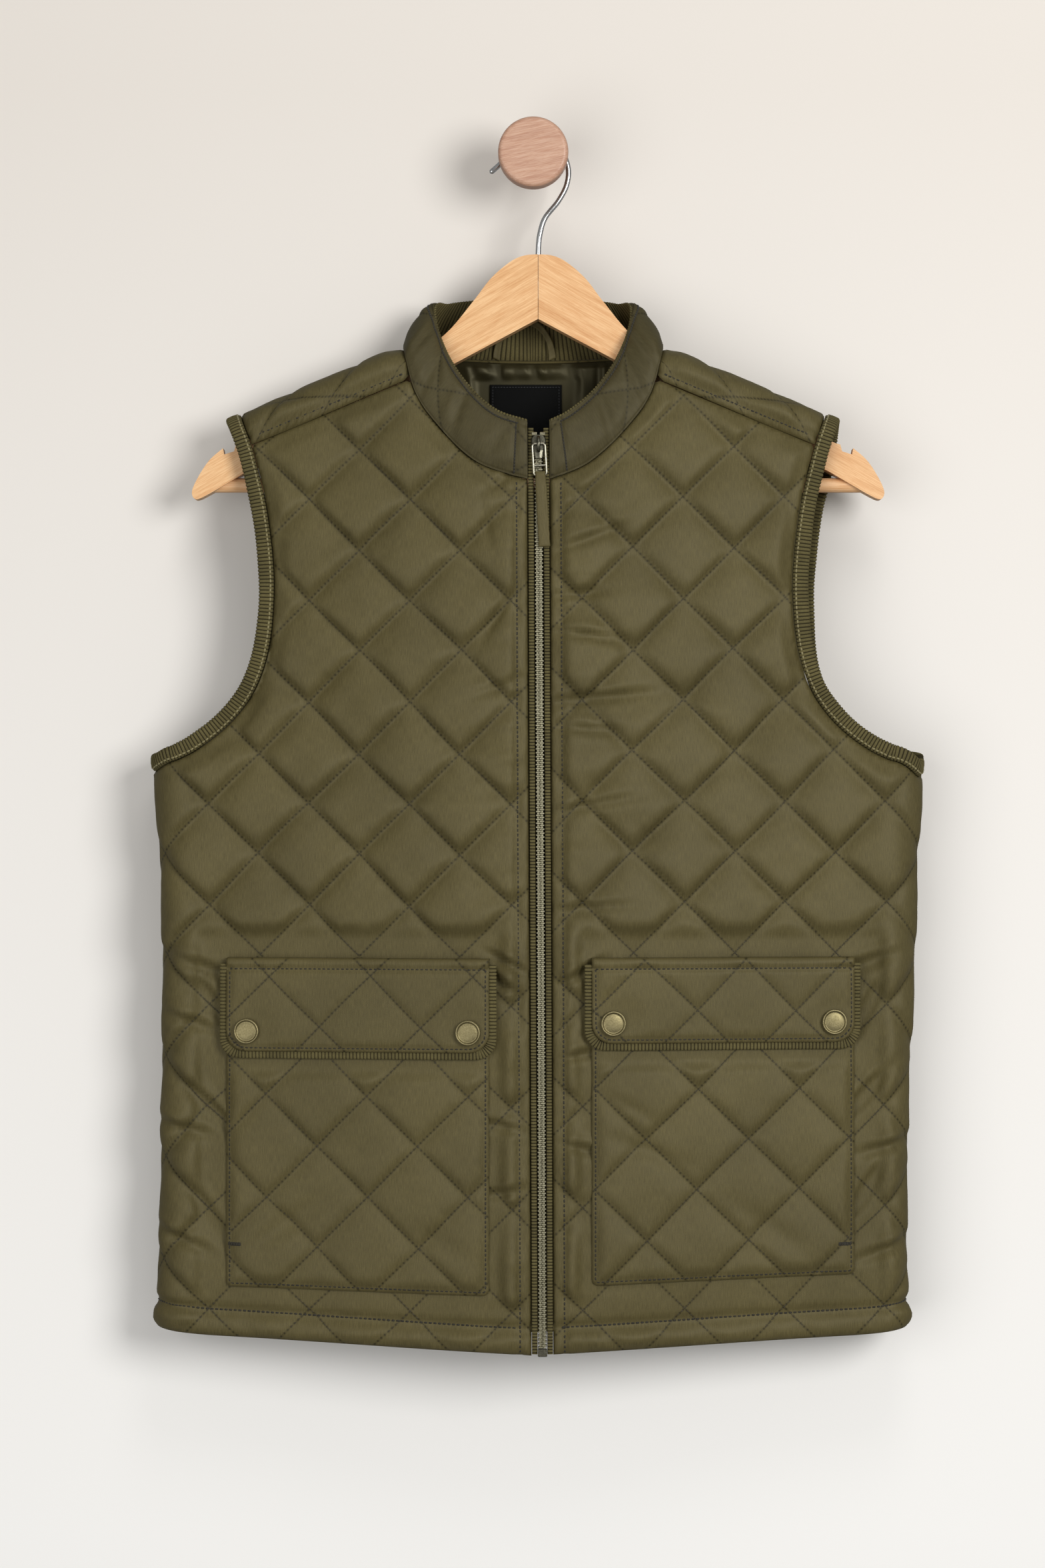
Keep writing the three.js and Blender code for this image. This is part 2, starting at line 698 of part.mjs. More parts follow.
const cloth = (color) => new THREE.MeshStandardMaterial({ color, roughness: 0.85, metalness: 0 });
const metal = (color, roughness) =>
  new THREE.MeshStandardMaterial({ color, roughness, metalness: 1 });
const OLIVE = cloth(0x57522f);
const CORD = cloth(0x4a4a2a);
const SATIN = new THREE.MeshStandardMaterial({ color: 0x3f3f26, roughness: 0.4, metalness: 0 });
const BLACK = cloth(0x101114);
const WOOD = new THREE.MeshStandardMaterial({ color: 0xe0a878, roughness: 0.55, metalness: 0 });
const BEECH = new THREE.MeshStandardMaterial({ color: 0xcf9a78, roughness: 0.6, metalness: 0 });
const STEEL = metal(0xb9bcc0, 0.25);
const BRASS = metal(0x9b9468, 0.4);
const DARK = metal(0x55564c, 0.35);

const vest = new THREE.Group();

function addNode(name, geometry, material) {
  const mesh = new THREE.Mesh(geometry, material);
  mesh.name = name;
  vest.add(mesh);
}

const SIDES = [['left', -1], ['right', 1]]; // as the viewer sees them

// Body panels

// The wadding is pressed thin under a pocket.
function frontPuff(a, b) {
  const from = Math.abs(a - POCKET_LINE_X);
  const { margin, footZ, topZ, fadeX, fadeZ, share } = PRESSED;
  const inner = ease((from - POCKET.inner + margin) / fadeX);
  const outer = 1 - ease((from - POCKET.outer - margin) / fadeX);
  const along = ease((b - footZ) / fadeZ) * (1 - ease((b - topZ) / fadeZ));
  return QUILT.puff * (1 - share * inner * outer * along);
}

function addPanels() {
  for (const [name, side] of SIDES) {
    const geometry = clothPiece({
      outline: frontOutline(side),
      lattice: LATTICE[`${name}Front`],
      wall: QUILT.wall,
      puff: frontPuff,
      place: onFront,
    });
    addNode(`front_${name}`, geometry, OLIVE);
  }
  const back = clothPiece({
    outline: backOutline(),
    lattice: LATTICE.back,
    wall: QUILT.wall,
    puff: () => QUILT.puff,
    place: onBack,
  });
  addNode('back', back, OLIVE);
}

// Armhole bindings

function bindingRing(side) {
  const line = armholeLine(side, BINDING.stations);
  const spots = line.map((p) => {
    const at = backSurface(p.x, p.z);
    return { at, normal: outward(backSurface, -1, p.x, p.z) };
  });
  spots.pop();
  return spots.map(({ at, normal }, k) => {
    const next = spots[(k + 1) % spots.length].at;
    const before = spots[(k + spots.length - 1) % spots.length].at;
    const along = next.clone().sub(before).normalize();
    const out = along.cross(normal).normalize().multiplyScalar(side);
    return { at: at.clone().addScaledVector(normal, BINDING.low - WALL_BACK), out, up: normal };
  });
}

function bindingSection() {
  const { wide, thick, corner } = BINDING;
  const near = SEAM_GAP;
  const far = SEAM_GAP + wide;
  return [
    [near, 0],
    [far - corner, 0],
    [far, corner],
    [far, thick - corner],
    [far - corner, thick],
    [near + corner, thick],
    [near, thick - corner],
  ];
}

function addBindings() {
  for (const [name, side] of SIDES) {
    addNode(`armhole_binding_${name}`, sweep(bindingRing(side), bindingSection(), true), CORD);
  }
}

// Stand collar

function collarStations() {
  const half = (side) => {
    const foot = neckLine(side, COLLAR_STEPS);
    const tops = NECK_RING.map((row, k) => {
      const x = k === 0 ? zipX(row.topZ) + side * ZIP_GAP_HALF : side * row.topX;
      return new THREE.Vector3(x, row.topY, row.topZ);
    });
    const curve = new THREE.CatmullRomCurve3(tops, false, 'catmullrom');
    return foot.map((p, k) => ({ foot: p, top: curve.getPoint(k / COLLAR_STEPS) }));
  };
  const left = half(-1);
  const right = half(1).reverse().slice(1);
  const stations = [...left, ...right];
  let along = 0;
  return stations.map(({ foot, top }, k) => {
    const seat = backSurface(foot.x, foot.z);
    const seatNormal = outward(backSurface, -1, foot.x, foot.z);
    const before = stations[Math.max(k - 1, 0)].foot;
    const after = stations[Math.min(k + 1, stations.length - 1)].foot;
    const run = backSurface(after.x, after.z).sub(backSurface(before.x, before.z)).normalize();
    const away = run.clone().cross(seatNormal).normalize();
    const rise = top.clone().sub(seat);
    const topBefore = stations[Math.max(k - 1, 0)].top;
    const topAfter = stations[Math.min(k + 1, stations.length - 1)].top;
    const topRun = topAfter.clone().sub(topBefore);
    const topNormal = rise.cross(topRun).normalize();
    if (k > 0) along += top.distanceTo(stations[k - 1].top);
    return { seat, seatNormal, away, top, topNormal, along };
  });
}

// A point of the collar: v runs from the neck seam at 0 to the top edge at 1, h is the height
// above the collar's inner face.
function collarPoint(station, v, h) {
  const { seat, seatNormal, away, top, topNormal } = station;
  const start = seat.clone().addScaledVector(away, SEAM_GAP);
  const at = start.lerp(top, v);
  const normal = seatNormal.clone().lerp(topNormal, ease(v * 1.6)).normalize();
  const swell = COLLAR.bulge * 4 * v * (1 - v);
  return at.addScaledVector(normal, h - mix(WALL_BACK, COLLAR.topBack, v) + swell);
}

// A layer of the collar: up along one of its faces and down along the other.
function collarLayer(stations, rows, rising, falling) {
  const rings = stations.map((station, k) => [
    ...rows.map((v) => collarPoint(station, v, rising(k, v))),
    ...rows.toReversed().map((v) => collarPoint(station, v, falling(k, v))),
  ]);
  return loft(rings, false);
}

function addCollar() {
  const stations = collarStations();
  const middle = stations[Math.floor(stations.length / 2)].along;
  const last = stations.length - 1;
  const puffed = (k, v) => {
    const p = (stations[k].along - middle) / (2 * QUILT.half);
    const q = (v * COLLAR.stand - LATTICE.collar.z) / (2 * QUILT.half);
    const swell = Math.abs(Math.sin(Math.PI * (p + q)) * Math.sin(Math.PI * (p - q)));
    const edge = ease(Math.min(v, 1 - v) * 4) * ease(Math.min(k, last - k) / 3);
    return COLLAR.facing + TOUCH + COLLAR.wall + COLLAR.puff * swell * edge;
  };
  const outer = collarLayer(stations, COLLAR_ROWS, puffed, () => COLLAR.facing + TOUCH);
  const proud = [...COLLAR_ROWS, 1 + COLLAR.proud / COLLAR.stand];
  const facing = collarLayer(stations, proud, () => 0, () => COLLAR.facing);
  addNode('collar', outer, OLIVE);
  addNode('collar_facing', facing, CORD);
}

// Pockets, flaps and snaps

function addPockets() {
  for (const [name, side] of SIDES) {
    const edge = FLAP_EDGE[name];
    const openZ = edge.bottomZ - FLAP_FACING.proud - UNDER_FLAP.clear;
    const open = (b) => mix(UNDER_FLAP.share, 1, ease((openZ - b) / UNDER_FLAP.fade));
    const pocket = clothPiece({
      outline: pocketOutline(name, side),
      lattice: LATTICE[`${name}Pocket`],
      wall: POCKET.wall,
      puff: (a, b) => POCKET.puff * open(b),
      foot: () => POCKET.lift,
      place: onFront,
    });
    addNode(`pocket_${name}`, pocket, OLIVE);
    const facing = clothPiece({
      outline: flapOutline(name, side, FLAP_FACING.proud, FLAP_SEAM.inset + FLAP_SEAM.wide + TOUCH),
      lattice: LATTICE[`${name}Flap`],
      wall: FLAP_FACING.wall,
      puff: () => 0,
      foot: () => FLAP_FACING.lift,
      place: onFront,
    });
    addNode(`flap_facing_${name}`, facing, CORD);
    const snaps = [FLAP.inner + SNAP.inset, FLAP.outer - SNAP.inset].map((from) => ({
      x: POCKET_LINE_X + side * from,
      z: edge.bottomZ + SNAP.up,
    }));
    const clear = (a, b) => Math.min(...snaps.map((s) => Math.hypot(a - s.x, b - s.z)));
    const flat = (a, b) => ease((clear(a, b) - SNAP_FLAT.radius) / SNAP_FLAT.fade);
    const sheet = clothPiece({
      outline: flapOutline(name, side, 0, 0),
      lattice: LATTICE[`${name}Flap`],
      wall: FLAP.wall,
      puff: (a, b) => FLAP.puff * flat(a, b),
      foot: () => FLAP.lift,
      place: onFront,
    });
    const flap = toSolid(sheet).add(toSolid(flapSeam(side, edge.topZ)));
    addNode(`flap_${name}`, fromSolid(flap), OLIVE);
    snaps.forEach((spot, k) => addSnap(`snap_${name}_${['inner', 'outer'][k]}`, spot));
  }
}

// Along its top edge a flap turns in and is sewn down to the body.
function flapSeam(side, topZ) {
  const rings = [];
  const { wide, inset, low, stations } = FLAP_SEAM;
  const near = topZ - inset;
  const far = near - wide;
  const high = FLAP.lift + FLAP.wall / 2;
  for (let k = 0; k <= stations; k += 1) {
    const from = mix(FLAP.inner + inset, FLAP.outer - inset, k / stations);
    const x = POCKET_LINE_X + side * from;
    rings.push([
      onFront(x, far, low),
      onFront(x, near, low),
      onFront(x, near, high),
      onFront(x, far, high),
    ]);
  }
  return loft(rings, false);
}

function addSnap(name, spot) {
  const { radius, rim, dish } = SNAP;
  const profile = [
    [0, 0],
    [radius - 0.6, 0],
    [radius, 0.7],
    [radius - 0.3, rim - 0.4],
    [radius - 1.1, rim],
    [radius - 1.9, rim - 0.2],
    [radius - 2.6, dish],
    [0, dish + 0.3],
  ];
  const points = profile.map(([r, y]) => new THREE.Vector2(r, y));
  const geometry = new THREE.LatheGeometry(points, SNAP.sides);
  const normal = outward(frontSurface, 1, spot.x, spot.z);
  const turn = new THREE.Quaternion().setFromUnitVectors(new THREE.Vector3(0, 1, 0), normal);
  geometry.applyQuaternion(turn);
  const seat = onFront(spot.x, spot.z, FLAP.lift + FLAP.wall + TOUCH + SNAP.lift);
  geometry.translate(seat.x, seat.y, seat.z);
  addNode(name, geometry, BRASS);
}

// Zip

// A strip along the closing line: each row gives its height, its two sides and its two faces.
const zipStrip = (rows) =>
  loft(
    rows.map(({ z, left, right, low, high }) => [
      onFront(zipX(z) + left, z, low),
      onFront(zipX(z) + right, z, low),
      onFront(zipX(z) + right, z, high),
      onFront(zipX(z) + left, z, high),
    ]),
    false,
  );

function straightStrip(left, right, { low, high, topZ, bottomZ }) {
  const count = Math.ceil((topZ - bottomZ) / ZIP_STEP);
  const rows = [];
  for (let k = 0; k <= count; k += 1) {
    rows.push({ z: mix(bottomZ, topZ, k / count), left, right, low, high });
  }
  return zipStrip(rows);
}

function addZip() {
  addNode('zip_tape_left', straightStrip(-TAPE.outer, -TAPE.inner, TAPE), CORD);
  addNode('zip_tape_right', straightStrip(TAPE.inner, TAPE.outer, TAPE), CORD);
  addNode('zip_chain', straightStrip(-CHAIN.half, CHAIN.half, CHAIN), DARK);
  const box = BOTTOM_BOX;
  addNode('zip_box', straightStrip(-box.half, box.half, box), DARK);
  const { topZ, long, half, waist, low, high } = SLIDER;
  const widths = [[0, 0.7], [0.15, 1], [0.5, 1], [0.75, waist / half], [1, (waist - 0.5) / half]];
  const rows = widths.map(([share, wide]) => {
    const reach = half * wide;
    return { z: topZ - long * share, left: -reach, right: reach, low, high };
  });
  const plate = toSolid(zipStrip(rows.reverse()));
  addNode('zip_slider', fromSolid(plate.add(toSolid(bailArch()))), DARK);
}

// The slider's bail is an arch over its plate, which the pull's top wire passes under.
function bailArch() {
  const at = onFront(zipX(BAIL.z), BAIL.z, SLIDER.high - BAIL.sunk);
  const normal = outward(frontSurface, 1, zipX(BAIL.z), BAIL.z);
  const down = new THREE.Vector3(1, 0, 0).cross(normal).normalize();
  const stations = [];
  for (let k = 0; k <= BAIL.steps; k += 1) {
    const angle = (Math.PI * k) / BAIL.steps;
    const centre = at
      .clone()
      .addScaledVector(down, BAIL.half * Math.cos(angle))
      .addScaledVector(normal, BAIL.rise * Math.sin(angle));
    const out = down
      .clone()
      .multiplyScalar(Math.cos(angle))
      .addScaledVector(normal, Math.sin(angle));
    stations.push({ at: centre, out, up: new THREE.Vector3(1, 0, 0) });
  }
  return sweep(stations, circle(BAIL.wire, 8), false);
}

// The pull hangs from the bail, leans a little to the right and rests near the chain.
function pullFrame() {
  const hinge = onFront(zipX(BAIL.z), BAIL.z, PULL.lift);
  const footZ = BAIL.z - TAB.bottom;
  const foot = onFront(zipX(footZ), footZ, PULL.restLift);
  const down = foot.sub(hinge).setX(0).normalize();
  down.applyAxisAngle(new THREE.Vector3(0, 1, 0), -THREE.MathUtils.degToRad(PULL_LEAN));
  const front = new THREE.Vector3(1, 0, 0).cross(down).normalize().negate();
  const right = down.clone().cross(front).normalize().negate();
  return new THREE.Matrix4().makeBasis(right, front, down).setPosition(hinge);
}

function addPull() {
  const place = pullFrame();
  const flatStation = (x, z, outX, outZ) => ({
    at: new THREE.Vector3(x, 0, z),
    out: new THREE.Vector3(outX, 0, outZ),
    up: new THREE.Vector3(0, 1, 0),
  });
  const { bend } = PULL;
  const loop = [];
  for (const [sx, sz, start] of [[1, 1, 0], [-1, 1, 1], [-1, 0, 2], [1, 0, 3]]) {
    for (let k = 0; k <= 3; k += 1) {
      const angle = (start + k / 3) * (Math.PI / 2);
      const x = sx * (PULL.half - bend) + bend * Math.cos(angle);
      const z = (sz ? PULL.long - bend : bend) + bend * Math.sin(angle);
      loop.push(flatStation(x, z, Math.cos(angle), Math.sin(angle)));
    }
  }
  const wire = circle(PULL.wire, 8);
  const bar = [-PULL.half, PULL.half].map((x) => ({
    at: new THREE.Vector3(x, 0, PULL.barAt),
    out: new THREE.Vector3(0, 0, 1),
    up: new THREE.Vector3(0, 1, 0),
  }));
  const frame = toSolid(sweep(loop, wire, true)).add(toSolid(sweep(bar, wire, false)));
  addNode('zip_pull_frame', fromSolid(frame).applyMatrix4(place), DARK);
  const tab = new THREE.BoxGeometry(TAB.half * 2, TAB.thick, TAB.bottom - TAB.top);
  tab.translate(0, 0, (TAB.bottom + TAB.top) / 2);
  addNode('zip_pull_tab', tab.applyMatrix4(place), OLIVE);
}

// Inside of the neck

function addNeckInside() {
  const rows = NECK_RING.slice(4).reverse();
  const top = smoothLine(rows.map((r) => ({ x: r.footX, z: r.footZ })), LINING_STEPS);
  const right = top.filter((p) => p.x < LINING.half).map((p) => ({ x: p.x, z: p.z - LINING.top }));
  const left = right.map((p) => ({ x: -p.x, z: p.z }));
  const outline = [
    { x: -LINING.half, z: LINING.bottomZ },
    { x: LINING.half, z: LINING.bottomZ },
    { x: LINING.half, z: right.at(-1).z },
    ...right.reverse(),
    ...left.slice(1),
    { x: -LINING.half, z: left.at(-1).z },
  ];
  const inside = -TOUCH - LINING.wall;
  const lining = clothPiece({
    outline: outline.map((p) => toBack(1, p)),
    lattice: LATTICE.back,
    wall: LINING.wall,
    puff: () => 0,
    foot: () => inside,
    place: onBack,
  });
  addNode('back_lining', lining, SATIN);
  const label = clothPiece({
    outline: [
      { x: LABEL.left, z: LABEL.bottomZ },
      { x: LABEL.right, z: LABEL.bottomZ },
      { x: LABEL.right, z: LABEL.topZ },
      { x: LABEL.left, z: LABEL.topZ },
    ],
    lattice: LATTICE.back,
    wall: LABEL.wall,
    puff: () => 0,
    foot: () => inside - TOUCH - LABEL.wall,
    place: onBack,
  });
  addNode('neck_label', label, BLACK);
  addNode('hanger_loop', hangerLoop(), CORD);
}

// A narrow strap sewn at both ends to the collar's inside, standing up in a flat arch.
function hangerLoop() {
  const middle = (LOOP.left + LOOP.right) / 2;
  const half = (LOOP.right - LOOP.left) / 2;
  const y = backSurface(0, LOOP.footZ).y - WALL_BACK - LOOP.thick / 2 - SEAM_GAP;
  const stations = [];
  for (let k = 0; k <= 16; k += 1) {
    const angle = (Math.PI * k) / 16;
    const lift = Math.sin(angle);
    const at = new THREE.Vector3(
      middle - half * Math.cos(angle),
      y,
      mix(LOOP.footZ, LOOP.topZ, lift),
    );
    const out = new THREE.Vector3(-Math.cos(angle) * (1 - lift), 0, 0.4 + lift).normalize();
    stations.push({ at, out, up: new THREE.Vector3(0, 1, 0) });
  }
  const wide = LOOP.wide / 2;
  const thick = LOOP.thick / 2;
  const section = [[-wide, -thick], [wide, -thick], [wide, thick], [-wide, thick]];
  return sweep(stations, section, false);
}

// Hanger and knob

function hangerOutline() {
  const notch = [
    { x: NOTCH.x, dz: 0 },
    { x: NOTCH.x + NOTCH.slant, dz: -NOTCH.deep },
    { x: NOTCH.x + NOTCH.wide, dz: -NOTCH.deep },
  ];
  const topZ = (x) => rowAt(HANGER_TOP.slice(0, 11), 'x', x).z;
  const before = HANGER_TOP.filter((p) => p.x < NOTCH.x);
  const after = HANGER_TOP.filter((p) => p.x > NOTCH.x + NOTCH.wide);
  const cut = notch.map(({ x, dz }) => ({ x, z: topZ(x) + dz }));
  const round = smoothLine(before.slice(0, 9), 16);
  const right = [...round, ...before.slice(9), ...cut, ...after, ...HANGER_UNDER];
  const left = right.slice(1, -1).map((p) => ({ x: -p.x, z: p.z })).reverse();
  return [...right, ...left].map((p) => ({ x: p.x + HANGER.x, z: p.z }));
}

function addHanger() {
  const shape = new THREE.Shape(hangerOutline().map((p) => new THREE.Vector2(p.x, p.z)));
  const board = new THREE.ExtrudeGeometry(shape, {
    depth: HANGER.thick - 2 * HANGER.edge,
    bevelThickness: HANGER.edge,
    bevelSize: HANGER.edge,
    bevelOffset: -HANGER.edge,
    bevelSegments: 1,
  });
  board.translate(0, 0, HANGER.edge - HANGER.thick / 2);
  board.rotateX(Math.PI / 2);
  board.translate(0, MID_Y, 0);
  const barSocket = rod(HANGER.barR + TOUCH, HANGER.barHalf + TOUCH, 24);
  const boreR = HOOK.wire + TOUCH;
  const bore = new THREE.CylinderGeometry(boreR, boreR, BEYOND, 16);
  bore.rotateX(Math.PI / 2);
  bore.translate(HANGER.x, MID_Y, HOOK.footZ - TOUCH + BEYOND / 2);
  const solid = toSolid(board).subtract(toSolid(barSocket)).subtract(toSolid(bore));
  for (const [name, side] of SIDES) {
    const half = new THREE.BoxGeometry(BEYOND, 2 * HANGER.thick, BEYOND);
    half.translate(HANGER.x + (side * (BEYOND + MITRE_GAP)) / 2, MID_Y, -BEYOND / 2);
    addNode(`hanger_arm_${name}`, fromSolid(solid.intersect(toSolid(half))), WOOD);
  }
  addNode('hanger_bar', rod(HANGER.barR, HANGER.barHalf, 20), WOOD);
}

function rod(radius, half, sides) {
  const geometry = new THREE.CylinderGeometry(radius, radius, 2 * half, sides);
  geometry.rotateZ(Math.PI / 2);
  geometry.translate(HANGER.x, MID_Y, HANGER.barZ);
  return geometry;
}

function addHook() {
  const points = HOOK_PATH.map((p) => new THREE.Vector3(p.x, MID_Y, p.z));
  const curve = new THREE.CatmullRomCurve3(points, false, 'centripetal');
  const stations = [];
  for (let k = 0; k <= HOOK.steps; k += 1) {
    const along = curve.getTangentAt(k / HOOK.steps);
    const out = new THREE.Vector3(along.z, 0, -along.x);
    stations.push({ at: curve.getPointAt(k / HOOK.steps), out, up: new THREE.Vector3(0, 1, 0) });
  }
  addNode('hanger_hook', sweep(stations, circle(HOOK.wire, HOOK.sides), false), STEEL);
}

function addKnob() {
  const { stemR, stemLong, discR, discThick, edge } = KNOB;
  const profile = [[0, 0], [stemR, 0], [stemR, stemLong]];
  const round = (depth, turn) => {
    for (let k = 0; k <= 3; k += 1) {
      const angle = (k / 3) * (Math.PI / 2);
      const out = turn > 0 ? Math.sin(angle) : Math.cos(angle);
      const on = turn > 0 ? 1 - Math.cos(angle) : Math.sin(angle);
      profile.push([discR - edge + edge * out, depth + edge * on]);
    }
  };
  round(stemLong, 1);
  round(stemLong + discThick - edge, -1);
  profile.push([0, stemLong + discThick]);
  const points = profile.map(([r, y]) => new THREE.Vector2(r, y));
  const geometry = new THREE.LatheGeometry(points, KNOB.sides);
  geometry.rotateX(Math.PI);
  addNode('wall_knob', geometry, BEECH);
}

addPanels();
addBindings();
addCollar();
addPockets();
addZip();
addPull();
addNeckInside();
addHanger();
addHook();
addKnob();

export default vest;
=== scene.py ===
# A quilted zip-up vest on a wooden hanger, hung from a round wooden wall knob.
# Lengths are in millimetres until a mesh is made. +X is to the viewer's right, -Y towards the
# viewer, +Z up, and the origin is the centre of the knob's back face, on the wall.
import math

import bpy
import numpy as np
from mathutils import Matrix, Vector


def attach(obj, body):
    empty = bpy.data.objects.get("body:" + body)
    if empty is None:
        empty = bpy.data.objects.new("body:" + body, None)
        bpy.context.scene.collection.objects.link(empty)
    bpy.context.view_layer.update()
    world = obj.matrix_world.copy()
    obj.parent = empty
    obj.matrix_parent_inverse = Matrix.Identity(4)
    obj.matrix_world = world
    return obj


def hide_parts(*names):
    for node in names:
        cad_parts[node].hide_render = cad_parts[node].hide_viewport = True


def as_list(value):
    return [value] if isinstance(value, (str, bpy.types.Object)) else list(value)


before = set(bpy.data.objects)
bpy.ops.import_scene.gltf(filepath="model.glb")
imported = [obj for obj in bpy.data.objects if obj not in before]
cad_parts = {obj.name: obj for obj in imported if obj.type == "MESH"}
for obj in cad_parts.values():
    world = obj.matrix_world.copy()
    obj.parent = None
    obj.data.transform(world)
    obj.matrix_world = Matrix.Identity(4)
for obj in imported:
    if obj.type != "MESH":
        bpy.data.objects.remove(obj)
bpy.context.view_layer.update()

MM = 0.001
SIDES = (("left", -1), ("right", 1))

# Camera, from the photo's vanishing lines and the vest's place in its frame
CAMERA = {"x": -6.9, "y": -2600, "z": -406.6, "lens": 90.7, "sensor": 36}

# The body's cross-section at each height, as in the solids: z, half width, sway to the right,
# front and back distance from the hanger's plane, round of the sides
MID_Y = -38
BODY = [
    (-785, 247, -0.5, 39, 25, 22),
    (-740, 246, -0.5, 40, 26, 22),
    (-700, 244, 0, 41, 27, 22),
    (-600, 244, 1.5, 42, 28, 22),
    (-500, 246, 4, 43, 30, 22),
    (-440, 248, 3.5, 43, 31, 22),
    (-400, 251, 3, 42, 31, 22),
    (-300, 251, 0, 40, 30, 21),
    (-212, 251, 0, 37, 29, 19),
    (-160, 251, 0, 32, 28, 18),
    (-110, 251, 0, 28, 27, 18),
]
# Soft folds of the whole front: x, z, direction in degrees, length, width, depth
FRONT_FOLDS = [
    (-190, -372, 52, 60, 13, 4.5),
    (-140, -350, 118, 120, 24, 2.5),
    (-213, -610, 88, 150, 15, 3.5),
    (220, -590, 95, 150, 14, 3),
    (70, -352, 4, 110, 12, 2.5),
    (62, -436, 176, 90, 12, 2),
    (150, -372, 60, 80, 16, 2.5),
]
SEAM_GAP = 0.68
COLLAR_SEAM_GAP = 0.25
TOUCH = 0.35
WALL_BACK = 5
ZIP = {"top_x": 3.3, "top_z": -180, "bottom_x": 5.9, "bottom_z": -770, "gap_half": 7.1}
RIDGE = {"neck_x": 85.3, "neck_z": -122.5, "slope": 0.41, "drop": 17, "forward": 26}
# Half of the neck: face, seam x and z in the front view, collar's top x, y and z
NECK_RING = [
    (-1, 10, -211.5, 10, -71, -174.5),
    (-1, 36, -200.5, 24, -69.5, -167.5),
    (-1, 61, -177, 41, -63.5, -152),
    (-1, 78, -150, 55.8, -55.2, -128.9),
    (1, 85.3, -122.5, 65, -37, -97.4),
    (1, 76, -125.5, 57, -23, -94),
    (1, 54, -128, 42, -15, -92),
    (1, 27, -129.5, 21, -11.5, -91),
    (1, 0, -130, 0, -10.5, -90.5),
]
ARMHOLE = [
    (190, -165.5),
    (179.5, -195),
    (172, -227),
    (167.5, -262),
    (167, -289),
    (169.5, -316),
    (175, -337),
    (184, -355),
    (200, -373),
    (222, -388),
    (240, -394.5),
]
UNDERARM_Z = -397.5
# Well above the underarm, the back's armhole lies further out than the front's, and to the right
BACK_ARMHOLE = {"out": 4, "shift": 3, "reach": 130}
SIDE_SEAM = {"low_z": -757, "high_z": -402}
# Each hem rises from its middle towards the sides, and then turns up to meet the side seams
FRONT_HEM = {"middle_z": -772.2, "slope": 0.052}
BACK_HEM = {"middle_z": -765, "slope": 0.03}
HEM_END = {"turn_x": 205, "side_x": 259, "side_z": -756.5}

QUILT_HALF = 32.5
QUILT_LINE_GAP = math.sqrt(2) * QUILT_HALF
# How far from a sewn line the wadding swells, below a diamond and above it, for the lines that
# fall to the right (p) and to the left (q)
SAG = {"p": (2.3, 10), "q": (2.6, 9)}
EDGE_FADE = 13
# How far the sewn lines wander from straight, and over what length
WANDER = {"far": 1.1, "cell": 55}
# Shares of the wadding's rise by which diamonds differ, and the cloth over them
UNEVEN = {"diamond": 0.16, "cloth": 0.10}
PUCKER = {"pitch": 6.5, "rise": 0.085, "reach": 7}
STITCH = {"pitch": 3.0, "long": 2.4, "radius": 0.62}
QUILT_STITCH = {"pitch": 3.1, "long": 2.2, "radius": 0.3}
LABEL_STITCH = {"pitch": 1.9, "long": 1.4, "radius": 0.25}
# Quilting lattice of each piece: the place of one crossing, and the wadding's rise
LATTICE = {
    "front_left": {"x": -111.5, "z": -256.5, "rise": 7.5},
    "front_right": {"x": 64, "z": -190, "rise": 7.5},
    "back": {"x": 0, "z": -290, "rise": 6.0},
    "pocket_left": {"x": -106, "z": -606, "rise": 3.8},
    "pocket_right": {"x": 105, "z": -601, "rise": 3.8},
    "flap_left": {"x": -103, "z": -529, "rise": 1.7},
    "flap_right": {"x": 103, "z": -551, "rise": 1.7},
    "collar": {"x": 0, "z": 16, "rise": 1.8},
}
POCKET_LINE_X = 4.6
POCKET = {"inner": 33, "outer": 202, "top_z": -529, "under": 3.75, "wall": 2.2, "round": 4}
POCKET_FOOT = {"left": (-733.6, -729.5), "right": (-727, -721.7)}
FLAP = {"inner": 32.5, "outer": 201, "under": 9.4, "wall": 2, "round": 13, "seam_under": 4.3}
FLAP_EDGE = {"left": (-518, -578), "right": (-517.5, -572)}
FACING = {"proud": 4.5, "wall": 1.2, "under": 7.8, "below": 4.0, "rib": 2.25}
SNAP = {"radius": 8.1, "inset": 13.2, "up": 13}
BINDING = {"wide": 9.6, "thick": 4.8, "low": -0.6, "corner": 1.9}
COLLAR = {"stand": 37, "top_back": 2.4, "wall": 2.6, "facing": 1.3, "proud": 1.6, "bulge": 2.5}
COLLAR_STITCH = 3.2
COLLAR_WALE = 2.1
RIB = 2.4
RIB_STEPS = 6
LINING = {"half": 64.4, "bottom_z": -240, "top": 1.5, "wall": 0.5, "skin": -0.85, "gather_z": -122}
LABEL = {"left": -28.3, "right": 18.9, "top_z": -145.5, "bottom_z": -190, "wall": 0.7, "inset": 1.8}
LOOP = {"left": -24, "right": 12.5, "wide": 5, "thick": 1, "foot_z": -129, "top_z": -104}
CHAIN = {"half": 2.8, "low": 1.2, "high": 4.2, "top_z": -180, "bottom_z": -767.3, "pitch": 2.5}
TAPE = {"inner": 3.2, "outer": 6.7, "low": 0.8, "high": 3.9, "top_z": -178, "bottom_z": -771, "rib": 2}
SLIDER = {"top_z": -183.5, "long": 15, "half": 4.7, "low": 4.6, "high": 6.6}
